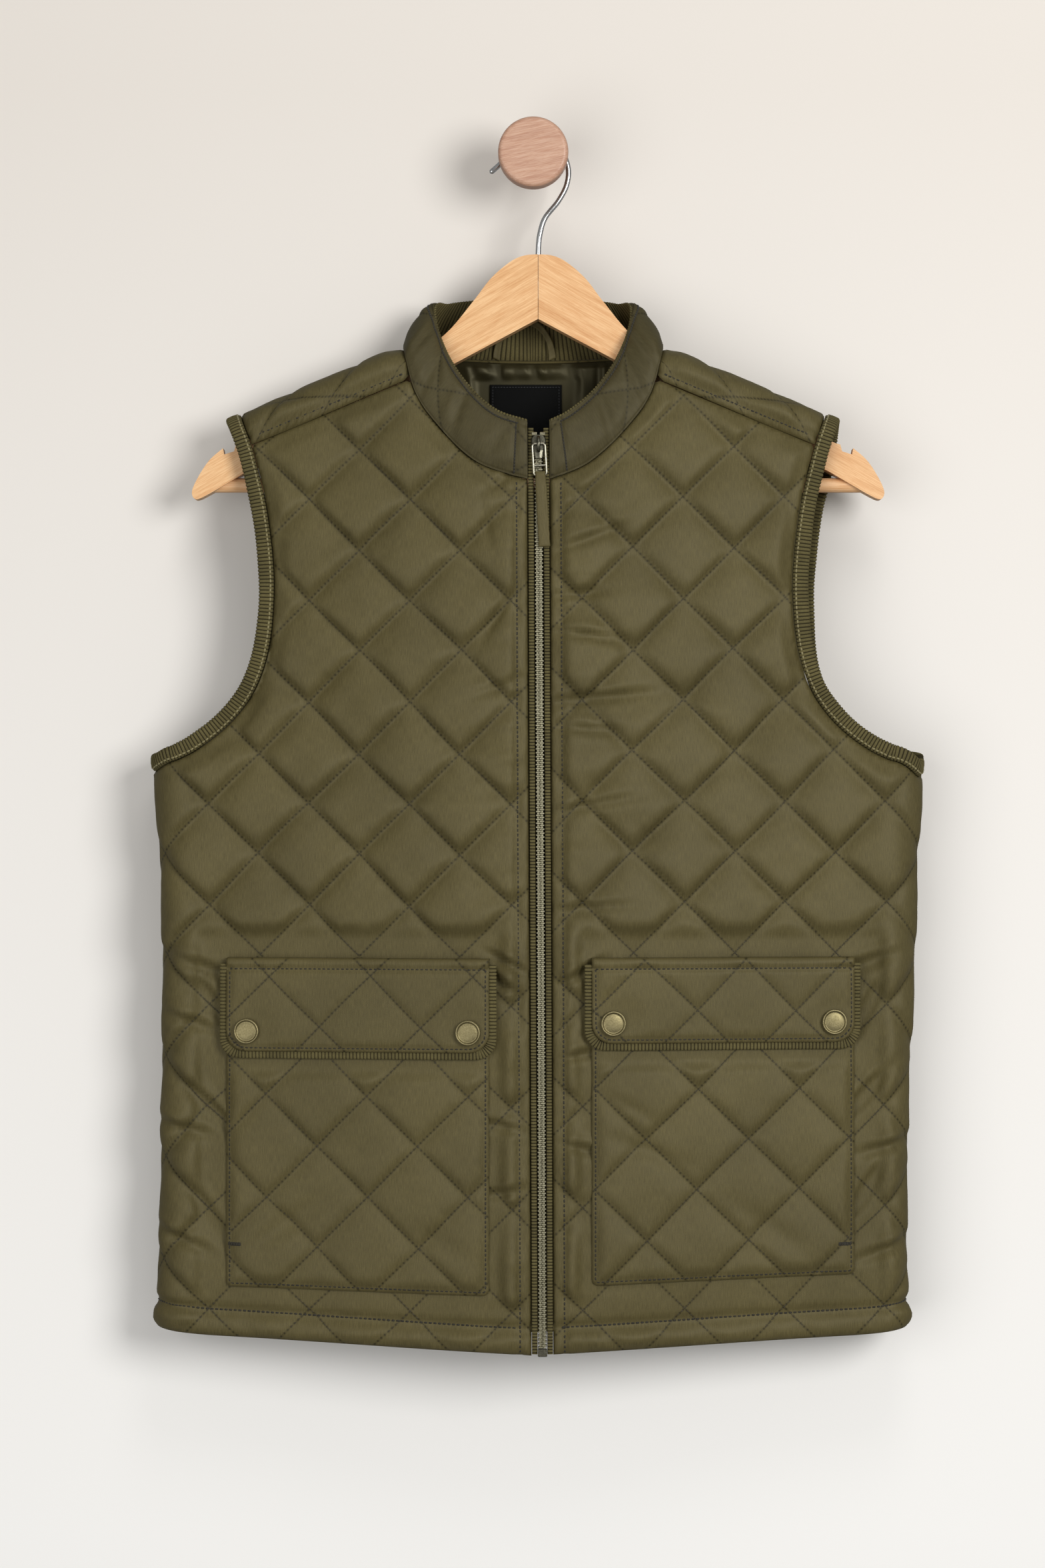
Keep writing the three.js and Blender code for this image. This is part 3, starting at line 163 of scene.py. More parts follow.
# Shares of the slider's length from its top, and of its width there
SLIDER_WIDTHS = [
    (0, 0.52),
    (0.06, 0.82),
    (0.14, 0.98),
    (0.28, 1),
    (0.45, 0.92),
    (0.62, 0.76),
    (0.8, 0.68),
    (0.94, 0.64),
    (1.0, 0.5),
]
BAIL = {"wire": 0.9, "half": 4.6, "rise": 4.2, "z": -189.5}
BOTTOM_BOX = {"half": 3.0, "top_z": -767.7, "bottom_z": -772.6, "low": 0.9, "high": 4.9}
PULL = {"half": 4.1, "wire": 0.75, "bend": 1.6, "bar_at": 14, "long": 20}
# The pull's hinge and the tab's foot above the front, and how many degrees it leans to one side
PULL_REST = {"lift": 8.2, "foot": 5.7, "lean": 3.3}
TAB = {"half": 3.6, "bottom": 66, "thick": 2}
# The tab's fold round the wire: distance below the hinge, and half thickness
TAB_FOLD = [(17.6, 0.3), (17.9, 1.0), (18.9, 1.5), (20.2, 1.75), (21.6, 1.45), (23.5, 1.15)]
HANGER = {"x": 3.2, "thick": 14, "edge": 2.4, "bar_r": 4.7, "bar_z": -213, "bar_half": 211}
HANGER_TOP = [
    (0, -64),
    (9, -64.8),
    (18, -68.8),
    (30.5, -79.5),
    (42.5, -95),
    (60, -115.5),
    (84, -132.6),
    (102, -141.5),
    (120, -150),
    (192, -186),
    (204, -189.6),
    (213, -197.5),
    (220.5, -209),
    (224, -218),
    (221, -222.5),
]
HANGER_UNDER = [(212, -218.5), (190, -205.5), (51, -133), (0, -105.8)]
NOTCH = {"x": 195.5, "wide": 8, "deep": 4, "lean": 1.2, "lip": 0.4}
TIP_START = (204.6, -190)
MITRE_GAP = 0.3
HOOK_WIRE = 1.72
HOOK_PATH = [
    (3.2, -80),
    (3.4, -60),
    (4.4, -50),
    (7.5, -40),
    (16.4, -28.5),
    (21.6, -18.5),
    (22.8, -8),
    (18.5, 3.6),
    (10.5, 10.2),
    (1, 12.25),
    (-8.5, 9.6),
    (-15.5, 3.6),
    (-20.5, -3.6),
    (-28, -10.5),
]
KNOB = {"stem_r": 10, "stem_long": 45, "disc_r": 22.6, "disc_thick": 18, "edge": 3.2}


# Small tools


def ease(share):
    t = np.clip(share, 0, 1)
    return t * t * (3 - 2 * t)


def mix(start, end, share):
    return start + (end - start) * share


def unit(vectors):
    return vectors / np.maximum(np.linalg.norm(vectors, axis=-1, keepdims=True), 1e-12)


def noise(u, v, seed):
    """Smooth random values from -1 to 1, one cell to each whole number of u and v."""
    size = 128
    table = np.random.default_rng(seed).uniform(-1, 1, (size, size))
    i = np.floor(u).astype(int)
    j = np.floor(v).astype(int)
    next_i, next_j = (i + 1) % size, (j + 1) % size
    s = ease(u - i)
    low = mix(table[i % size, j % size], table[next_i, j % size], s)
    high = mix(table[i % size, next_j], table[next_i, next_j], s)
    return mix(low, high, ease(v - j))


def table_at(rows, at):
    """A table's columns at each value of its rising first column, on smooth curves."""
    table = np.array(rows, float)
    key = table[:, 0]
    order = np.arange(len(key))
    low = np.maximum(order - 1, 0)
    high = np.minimum(order + 1, len(key) - 1)
    slope = (table[high] - table[low]) / (key[high] - key[low])[:, None]
    at = np.clip(at, key[0], key[-1])
    i = np.clip(np.searchsorted(key, at, side="right") - 1, 0, len(key) - 2)
    span = (key[i + 1] - key[i])[..., None]
    t = (at - key[i])[..., None] / span
    rise = table[i + 1] - table[i]
    start = slope[i] * span - rise
    end = rise - slope[i + 1] * span
    return table[i] + rise * t + t * (1 - t) * (start * (1 - t) + end * t)


def hermite(start, end, leave, arrive, t):
    """A smooth curve from start to end that leaves and arrives in the given directions."""
    cubic = (2 * start - 2 * end + leave + arrive) * t**3
    square = (-3 * start + 3 * end - 2 * leave - arrive) * t**2
    return cubic + square + leave * t + start


def spline(points, shares, extend=False):
    """Points of a smooth curve through others, at shares of its length counted in points."""
    points = np.array(points, float)
    last = len(points) - 1
    at = np.clip(np.asarray(shares, float) * last, 0, last)
    i = np.minimum(np.floor(at).astype(int), last - 1)
    before, start, end = points[np.maximum(i - 1, 0)], points[i], points[i + 1]
    after = points[np.minimum(i + 2, last)]
    if extend:
        before = np.where((i == 0)[:, None], 2 * points[0] - points[1], before)
        after = np.where((i == last - 1)[:, None], 2 * points[-1] - points[-2], after)
    return hermite(start, end, (end - before) / 2, (after - start) / 2, (at - i)[:, None])


def run_length(points):
    steps = np.linalg.norm(np.diff(points, axis=0), axis=1)
    return np.concatenate([[0], np.cumsum(steps)])


def even_points(points, pitch):
    """Points along a line, evenly spaced by about pitch."""
    along = run_length(points)
    count = max(int(round(along[-1] / pitch)), 1)
    at = np.linspace(0, along[-1], count + 1)
    return np.stack([np.interp(at, along, column) for column in np.asarray(points).T], 1)


def line_distance(spots, line, closed=False):
    """Distance of each flat spot from a line."""
    line = np.asarray(line, float)
    ends = np.roll(line, -1, 0) if closed else line[1:]
    starts = line if closed else line[:-1]
    nearest = np.full(len(spots), 1e18)
    for start, end in zip(starts, ends):
        step = end - start
        share = np.clip((spots - start) @ step / max(step @ step, 1e-12), 0, 1)
        off = spots - start - share[:, None] * step
        nearest = np.minimum(nearest, (off * off).sum(1))
    return np.sqrt(nearest)


def nearest_on_line(spots, line):
    """The nearest point of a closed line to each flat spot."""
    line = np.asarray(line, float)
    best = np.full(len(spots), 1e18)
    found = spots.copy()
    for start, end in zip(line, np.roll(line, -1, 0)):
        step = end - start
        share = np.clip((spots - start) @ step / max(step @ step, 1e-12), 0, 1)
        on = start + share[:, None] * step
        far = ((spots - on) ** 2).sum(1)
        closer = far < best
        best = np.where(closer, far, best)
        found[closer] = on[closer]
    return found


def inside(spots, outline):
    """Which flat spots lie inside a closed outline."""
    result = np.zeros(len(spots), bool)
    x, z = spots[:, 0], spots[:, 1]
    for (x0, z0), (x1, z1) in zip(outline, np.roll(outline, -1, 0)):
        crosses = (z0 > z) != (z1 > z)
        if crosses.any():
            at = x0 + (z - z0) * (x1 - x0) / (z1 - z0 if z1 != z0 else 1e-12)
            result ^= crosses & (x < at)
    return result


# Body surfaces. A point of the flat cloth is (a, b): a across, b up.


def ridge_z(a):
    return RIDGE["neck_z"] - RIDGE["slope"] * (np.abs(a) - RIDGE["neck_x"])


def zip_x(z):
    share = (ZIP["top_z"] - z) / (ZIP["top_z"] - ZIP["bottom_z"])
    return mix(ZIP["top_x"], ZIP["bottom_x"], np.clip(share, 0, 1))


def relief(a, b, rows):
    """Depth at each point of soft troughs given as x, z, degrees, length, width, depth."""
    depth = np.zeros_like(a)
    for x, z, turn, long, wide, deep in rows:
        c, s = math.cos(math.radians(turn)), math.sin(math.radians(turn))
        along = (a - x) * c + (b - z) * s
        across = (b - z) * c - (a - x) * s
        depth += deep * np.exp(-((across / wide) ** 2) - (along / (long / 2)) ** 2)
    return depth


def torso(face, a, b):
    """The body's outline. face is -1 on the front and 1 on the back."""
    _, half, sway, front, back, corner = np.moveaxis(table_at(BODY, b), -1, 0)
    off = a - sway
    flat = half - corner
    over = np.abs(off) - flat
    deep = np.where(face < 0, front, back)
    turned = np.maximum(over, 0) / corner
    x = np.where(over > 0, flat + corner * np.sin(turned), np.abs(off))
    y = corner * np.cos(turned)
    crown = (deep - corner) * (1 + np.cos(np.pi * np.abs(off) / flat)) / 2
    fold = np.where(face < 0, relief(a, b, FRONT_FOLDS) * ease(-over / corner), 0)
    y = y + np.where(over > 0, 0, crown - fold)
    return np.stack([sway + np.sign(off) * x, MID_Y + face * y, b + 0 * a], -1)


def side_seam_a(side, z):
    _, half, sway, _, _, corner = np.moveaxis(table_at(BODY, np.asarray(z, float)), -1, 0)
    return sway + side * (half - corner + math.pi / 2 * corner)


def shoulder_roll(face, a):
    start = ridge_z(a) - RIDGE["drop"]
    deep = np.abs(torso(face, a, start)[..., 1] - MID_Y)
    quarter = math.pi / 2 * np.sqrt((RIDGE["drop"] ** 2 + deep**2) / 2)
    return start, deep, quarter, start + quarter


def shell(face, a, b):
    """The body with its shoulders: above the roll's start the cloth turns over the ridge."""
    start, deep, quarter, _ = shoulder_roll(face, a)
    point = torso(face, a, np.minimum(b, start))
    angle = np.maximum(b - start, 0) / quarter * math.pi / 2
    rolled = b > start
    point[..., 1] = np.where(rolled, MID_Y + face * deep * np.cos(angle), point[..., 1])
    point[..., 2] = np.where(rolled, start + RIDGE["drop"] * np.sin(angle), point[..., 2])
    return point


def flat_height(face, a, z):
    start, _, quarter, _ = shoulder_roll(face, a)
    angle = np.arcsin(np.clip((z - start) / RIDGE["drop"], 0, 1))
    return np.where(z <= start, z, start + quarter * angle / (math.pi / 2))


def front_surface(a, b):
    return shell(-1, a, b)


def back_surface(a, b):
    """The back runs over the shoulder ridge and down to the forward shoulder seam."""
    ridge_b = shoulder_roll(1, a)[3]
    front = shell(-1, a, shoulder_roll(-1, a)[3] - (b - ridge_b))
    return np.where((b <= ridge_b)[..., None], shell(1, a, b), front)


def outward(surface, turn, a, b):
    step = 0.5
    across = surface(a + step, b) - surface(a - step, b)
    up = surface(a, b + step) - surface(a, b - step)
    return unit(np.cross(across, up)) * turn


def off_cloth(surface, turn, a, b, h):
    """A point of the flat cloth, h above the wall's inner face."""
    a, b, h = np.broadcast_arrays(*(np.asarray(v, float) for v in (a, b, h)))
    lift = (h - WALL_BACK)[..., None]
    return surface(a, b) + outward(surface, turn, a, b) * lift


def on_front(a, b, h):
    return off_cloth(front_surface, 1, a, b, h)


def on_back(a, b, h):
    return off_cloth(back_surface, -1, a, b, h)


# Outlines. Armholes and necks are drawn in the back's flat frame, which runs on down the front.


def to_front(line):
    a, b = line.T
    return np.stack([a, shoulder_roll(1, a)[3] + shoulder_roll(-1, a)[3] - b], 1)


def to_back(face, x, z):
    x, z = np.asarray(x, float), np.asarray(z, float)
    over = shoulder_roll(1, x)[3] + shoulder_roll(-1, x)[3] - flat_height(-1, x, z)
    return np.where(face > 0, flat_height(1, x, z), over)


def neck_line(side, count):
    rows = np.array(NECK_RING, float)
    x = side * rows[:, 1]
    x[0] = zip_x(rows[0, 2]) + side * ZIP["gap_half"]
    z = to_back(rows[:, 0], x, rows[:, 2])
    return spline(np.stack([x, z], 1), np.linspace(0, 1, count + 1))


def armhole_line(side, count):
    """An armhole from the side seam up the front, over the shoulder and down the back."""
    rows = np.array(ARMHOLE, float)
    seam_a = side_seam_a(side, UNDERARM_Z)
    front = np.stack([side * rows[:, 0], to_back(-1, side * rows[:, 0], rows[:, 1])], 1)
    x, z = rows[1:].T
    rise = 1 - ease((UNDERARM_Z + BACK_ARMHOLE["reach"] - z) / BACK_ARMHOLE["reach"])
    x = side * (x + BACK_ARMHOLE["out"] * rise) + BACK_ARMHOLE["shift"] * rise
    back = np.stack([x, to_back(1, x, z)], 1)
    ends = [(seam_a, to_back(face, seam_a, UNDERARM_Z)) for face in (-1, 1)]
    line = np.vstack([ends[:1], front[::-1], back, ends[1:]])
    return spline(line, np.linspace(0, 1, count + 1))


def past_seam(line, gap):
    """How far each point of a line lies behind the forward shoulder seam, less a gap."""
    seam = ridge_z(line[:, 0]) - RIDGE["forward"]
    return to_front(line)[:, 1] - seam - gap


def keep_past_seam(line, gap, sign):
    """The part of a line behind the shoulder seam, or before it where sign is -1."""
    value = past_seam(line, gap) * sign
    kept = [line[0]] if value[0] > 0 else []
    for k in range(1, len(line)):
        if (value[k] > 0) != (value[k - 1] > 0):
            share = value[k - 1] / (value[k - 1] - value[k])
            kept.append(mix(line[k - 1], line[k], share))
        if value[k] > 0:
            kept.append(line[k])
    return np.array(kept)


def hem_z(hem, x):
    out = np.abs(x)
    turn_up = HEM_END["side_z"] - hem["middle_z"] - hem["slope"] * HEM_END["side_x"]
    turned = ease((out - HEM_END["turn_x"]) / (HEM_END["side_x"] - HEM_END["turn_x"]))
    return hem["middle_z"] + hem["slope"] * out + turn_up * turned


def hem_line(hem, from_x, to_x, count):
    x = np.linspace(from_x, to_x, count + 1)
    return np.stack([x, hem_z(hem, x)], 1)


def seam_edge(side, count):
    z = np.linspace(SIDE_SEAM["low_z"], SIDE_SEAM["high_z"], count)
    return np.stack([side_seam_a(side, z) - side * SEAM_GAP / 2, z], 1)


def zip_edge(side, z):
    z = np.asarray(z, float)
    return np.stack([zip_x(z) + side * ZIP["gap_half"], z], -1)


def front_outline(side):
    seam = seam_edge(side, 60)
    hem = hem_line(FRONT_HEM, zip_edge(side, FRONT_HEM["middle_z"])[0], seam[0, 0], 60)
    armhole = to_front(keep_past_seam(armhole_line(side, 240), -SEAM_GAP / 2, -1))
    armhole[0, 0] -= side * SEAM_GAP / 2
    neck = to_front(keep_past_seam(neck_line(side, 120), -SEAM_GAP / 2, -1))
    edge = zip_edge(side, np.linspace(neck[0, 1], FRONT_HEM["middle_z"], 60))[1:-1]
    return np.vstack([hem[:-1], seam, armhole, neck[::-1], edge])


def back_outline():
    halves = []
    for side in (1, -1):
        armhole = keep_past_seam(armhole_line(side, 240), SEAM_GAP / 2, 1)[::-1]
        armhole[0, 0] -= side * SEAM_GAP / 2
        neck = keep_past_seam(neck_line(side, 120), SEAM_GAP / 2, 1)
        halves.append(np.vstack([seam_edge(side, 60), armhole, neck]))
    hem = hem_line(BACK_HEM, halves[1][0, 0], halves[0][0, 0], 120)[1:-1]
    return np.vstack([hem, halves[0], halves[1][::-1][1:]])


def rounded_pocket(inner_x, outer_x, top_z, inner_z, outer_z, corner):
    """A four-cornered outline with its lower corners rounded."""
    side = math.copysign(1, outer_x - inner_x)

    def arc(x, z, start):
        angle = start + np.linspace(0, math.pi / 2, 9)
        return np.stack([x + side * corner * np.cos(angle), z + corner * np.sin(angle)], 1)

    return np.vstack([
        [(inner_x, top_z)],
        arc(inner_x + side * corner, inner_z + corner, math.pi),
        arc(outer_x - side * corner, outer_z + corner, 3 * math.pi / 2),
        [(outer_x, top_z)],
    ])


def pocket_outline(name, side):
    return rounded_pocket(
        POCKET_LINE_X + side * POCKET["inner"],
        POCKET_LINE_X + side * POCKET["outer"],
        POCKET["top_z"],
        *POCKET_FOOT[name],
        POCKET["round"],
    )


def flap_outline(name, side, proud=0.0, below=0.0):
    top, bottom = FLAP_EDGE[name]
    return rounded_pocket(
        POCKET_LINE_X + side * (FLAP["inner"] - proud),
        POCKET_LINE_X + side * (FLAP["outer"] + proud),
        top - below,
        bottom - proud,
        bottom - proud,
        FLAP["round"],
    )


def facing_outline(name, side):
    return flap_outline(name, side, FACING["proud"], FACING["below"])


# Quilting


def lattice_place(name, a, b):
    """The lattice coordinates p and q of flat points, whole numbers on the sewn lines."""
    seed = sum(map(ord, name))
    far, cell = WANDER["far"], WANDER["cell"]
    a = a + far * noise(a / cell, b / cell, seed)
    b = b + far * noise(a / cell, b / cell, seed + 1)
    right = (a - LATTICE[name]["x"]) / (2 * QUILT_HALF)
    up = (b - LATTICE[name]["z"]) / (2 * QUILT_HALF)
    return up + right, up - right


def lattice_point(name, p, q):
    """The flat point at lattice coordinates p and q."""
    a = LATTICE[name]["x"] + (p - q) * QUILT_HALF
    b = LATTICE[name]["z"] + (p + q) * QUILT_HALF
    for _ in range(3):
        found_p, found_q = lattice_place(name, a, b)
        a = a + (p - found_p - (q - found_q)) * QUILT_HALF
        b = b + (p - found_p + (q - found_q)) * QUILT_HALF
    return a, b


def line_gap(p):
    """Distance in millimetres from the nearest sewn line of one direction."""
    return np.abs(p - np.round(p)) * QUILT_LINE_GAP


def pillow(name, a, b, seed):
    """The wadding's rise from 0 on the sewn lines to about 1 in each diamond, with puckers.

    The wadding hangs down in its diamond, so that it drops steeply to the lines below it.
    """
    p, q = lattice_place(name, a, b)
    swell = np.ones_like(a)
    for value, steep, gentle in ((p, *SAG["p"]), (q, *SAG["q"])):
        share = value - np.floor(value)
        swell = swell * (1 - np.exp(-share * QUILT_LINE_GAP / steep))
        swell = swell * (1 - np.exp(-(1 - share) * QUILT_LINE_GAP / gentle))
    full = 1 + UNEVEN["diamond"] * noise(np.floor(p) * 7.3, np.floor(q) * 5.1, seed)
    pucker = np.zeros_like(a)
    for across, along, turn in ((p, q, 3), (q, p, 5)):
        gap = line_gap(across)
        ripple = noise(along * 2 * QUILT_HALF / PUCKER["pitch"], gap / 26 + turn, seed + turn)
        pucker += PUCKER["rise"] * ripple * np.exp(-gap / PUCKER["reach"]) * ease(gap / 2)
    slack = UNEVEN["cloth"] * noise(a / 17, b / 17, seed + 9) * swell
    return swell * full + pucker + slack


def groove(gap, deep, wide):
    return deep * np.exp(-((gap / wide) ** 2))


# Meshes


def add_mesh(name, points, faces, material, flat=None, quilt=None, wale=None, sharp=None,
             smooth=True):
    mesh = bpy.data.meshes.new(name)
    mesh.from_pydata((np.asarray(points) * MM).tolist(), [], faces)
    mesh.polygons.foreach_set("use_smooth", [smooth] * len(mesh.polygons))
    for key, values in (("flat", flat), ("quilt", quilt)):
        if values is not None:
            layer = mesh.attributes.new(key, "FLOAT_VECTOR", "POINT")
            layer.data.foreach_set("vector", np.asarray(values, np.float32).ravel())
    if wale is not None:
        layer = mesh.attributes.new("wale", "FLOAT", "POINT")
        layer.data.foreach_set("value", np.asarray(wale, np.float32).ravel())
    mesh.materials.append(material)
    mesh.update()
    if sharp:
        mesh.set_sharp_from_angle(angle=math.radians(sharp))
    obj = bpy.data.objects.new(name, mesh)
    bpy.context.scene.collection.objects.link(obj)
    return obj


def place_piece(obj, node=None, body="root"):
    """The piece rides on its body, and stands for the solid of its node."""
    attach(obj, body)
    if node:
        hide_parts(node)
    return obj


def strip_faces(rings, size, closed):
    """Quads between rings of points. An open strip is closed by its first and last ring."""
    faces = []
    for k in range(rings if closed else rings - 1):
        low, high = k * size, (k + 1) % rings * size
        for m in range(size):
            n = (m + 1) % size
            faces.append((low + m, high + m, high + n, low + n))
    if not closed:
        faces.append(tuple(range(size)))
        faces.append(tuple(range((rings - 1) * size, rings * size))[::-1])
    return faces


def outward_faces(points, faces):
    """The faces, all turned over where they would hold a negative volume."""
    volume = 0.0
    for face in faces:
        for k in range(1, len(face) - 1):
            volume += points[face[0]] @ np.cross(points[face[k]], points[face[k + 1]])
    return [tuple(face)[::-1] for face in faces] if volume < 0 else faces


def lofted(rings, closed=False):
    """Points and faces of a part through rings of points."""
    rings = np.array(rings, float)
    points = rings.reshape(-1, 3)
    return points, outward_faces(points, strip_faces(*rings.shape[:2], closed))


def sweep(stations, outs, ups, section, closed=False):
    """Points and faces of a section, rows of (out, up), carried along stations."""
    section = np.asarray(section, float)
    if section.ndim == 2:
        section = np.broadcast_to(section, (len(stations),) + section.shape)
    out, up = section[..., :1], section[..., 1:]
    return lofted(stations[:, None] + outs[:, None] * out + ups[:, None] * up, closed)


def circle(radius, sides):
    angle = np.arange(sides) / sides * 2 * math.pi
    return np.stack([radius * np.cos(angle), radius * np.sin(angle)], 1)


def arc_points(x, y, wide, start, end, count, tall=None):
    """Points of an arc about (x, y) from one direction in degrees to another."""
    tall = wide if tall is None else tall
    turns = [math.radians(turn) for turn in np.linspace(start, end, count)]
    return [(x + wide * math.cos(turn), y + tall * math.sin(turn)) for turn in turns]


def joined(parts):
    """Points and faces of several closed parts as one."""
    points, faces, start = [], [], 0
    for part_points, part_faces in parts:
        points.append(part_points)
        faces += [tuple(v + start for v in face) for face in part_faces]
        start += len(part_points)
    return np.vstack(points), faces


def cloth_grid(outline, pitch):
    """A grid of flat spots that fills an outline, its rim lying on the outline."""
    low, high = outline.min(0), outline.max(0)
    nx, nz = (int(n) for n in np.ceil((high - low) / pitch))
    xs, zs = np.linspace(low[0], high[0], nx + 1), np.linspace(low[1], high[1], nz + 1)
    mid = np.stack(np.meshgrid((xs[1:] + xs[:-1]) / 2, (zs[1:] + zs[:-1]) / 2), -1)
    kept = inside(mid.reshape(-1, 2), outline).reshape(nz, nx)
    drop_loose_cells(kept)
    index = np.arange((nx + 1) * (nz + 1)).reshape(nz + 1, nx + 1)
    j, i = np.nonzero(kept)
    quads = np.stack([index[j, i], index[j, i + 1], index[j + 1, i + 1], index[j + 1, i]], 1)
    spots = np.stack(np.meshgrid(xs, zs), -1).reshape(-1, 2)
    used, quads = np.unique(quads, return_inverse=True)
    quads = quads.reshape(-1, 4)
    spots = spots[used]
    rim = rim_edges(quads)
    on_rim = np.zeros(len(spots), bool)
    on_rim[rim.ravel()] = True
    spots[on_rim] = nearest_on_line(spots[on_rim], outline)
    edges = np.unique(np.sort(quad_edges(quads), 1), axis=0)
    free = (line_distance(spots, outline, closed=True) < 4 * pitch) & ~on_rim
    for _ in range(6):
        total, count = np.zeros_like(spots), np.zeros(len(spots))
        for start, end in (edges.T, edges.T[::-1]):
            np.add.at(total, start, spots[end])
            np.add.at(count, start, 1)
        spots[free] = mix(spots[free], total[free] / count[free, None], 0.6)
    return spots, quads, rim


def drop_loose_cells(kept):
    """Clears cells of a grid that hang on by one side, or that touch only at a corner."""
    for _ in range(4):
        pad = np.pad(kept, 1)
        sides = pad[:-2, 1:-1].astype(int) + pad[2:, 1:-1] + pad[1:-1, :-2] + pad[1:-1, 2:]
        kept &= sides >= 2
        pad = np.pad(kept, 1)
        nw, ne, sw, se = pad[1:, :-1], pad[1:, 1:], pad[:-1, :-1], pad[:-1, 1:]
        touch = (nw & se & ~ne & ~sw) | (ne & sw & ~nw & ~se)
        for j, i in zip(*np.nonzero(touch)):
            kept[max(j - 1, 0):j + 1, max(i - 1, 0):i + 1] = False


def quad_edges(quads):
    return np.vstack([quads[:, [k, (k + 1) % 4]] for k in range(4)])


def rim_edges(quads):
    """The directed edges that only one quad uses."""
    edges = quad_edges(quads)
    key = np.sort(edges, 1)
    _, first, count = np.unique(key, axis=0, return_index=True, return_counts=True)
    return edges[first[count == 1]]


def cloth_solid(grid, place, top, under):
    """Points and faces of a cloth wall between two heights over a flat grid."""
    spots, quads, rim = grid
    if place is on_back:
        quads, rim = quads[:, ::-1], rim[:, ::-1]
    shift = len(spots)
    points = np.vstack([place(*spots.T, top), place(*spots.T, under)])
    wall = np.stack([rim[:, 1], rim[:, 0], rim[:, 0] + shift, rim[:, 1] + shift], 1)
    return points, np.vstack([quads, quads[:, ::-1] + shift, wall]).tolist()


def flat_layers(a, b, lattice=None):
    """Flat and lattice coordinates of a sheet's points, the same on both its sides."""
    layers = [np.stack([a, b, 0 * a], 1)]
    if lattice:
        p, q = lattice_place(lattice, a, b)
        layers.append(np.stack([p, q, 0 * p], 1))
    return [np.tile(layer, (2, 1)) for layer in layers]


def add_sheet(name, outline, pitch, place, heights, paint, lattice=None):
    """A cloth wall over an outline. heights gives its outer and inner height at flat points."""
    grid = cloth_grid(outline, pitch)
    a, b = grid[0].T
    points, faces = cloth_solid(grid, place, *heights(a, b))
    return add_mesh(name, points, faces, paint, *flat_layers(a, b, lattice))


def stitch_mesh(centres, along, normal, kind):
    """A row of sewing stitches, each a slim rounded bead that lies half in the cloth."""
    across = unit(np.cross(along, normal))
    rings = [(-0.5, 0.0), (-0.3, 1.0), (0.3, 1.0), (0.5, 0.0)]
    corners = [(-1, 0), (0, 1), (1, 0)]
    radius = kind["radius"]
    points, faces = [], []
    for share, full in rings:
        for side, up in corners:
            spot = centres + along * share * kind["long"] + across * side * radius * full
            points.append(spot + normal * (up * radius * full - 0.1 * (1 - full)))
    points = np.stack(points, 1)
    for ring in range(len(rings) - 1):
        for side in range(2):
            low = ring * 3 + side
            faces.append((low, low + 1, low + 4, low + 3))
    count = len(rings) * len(corners)
    everything = np.array(faces)[None] + np.arange(len(centres))[:, None, None] * count
    return points.reshape(-1, 3), everything.reshape(-1, 4).tolist()


# Materials


WHITE = (255, 255, 255)


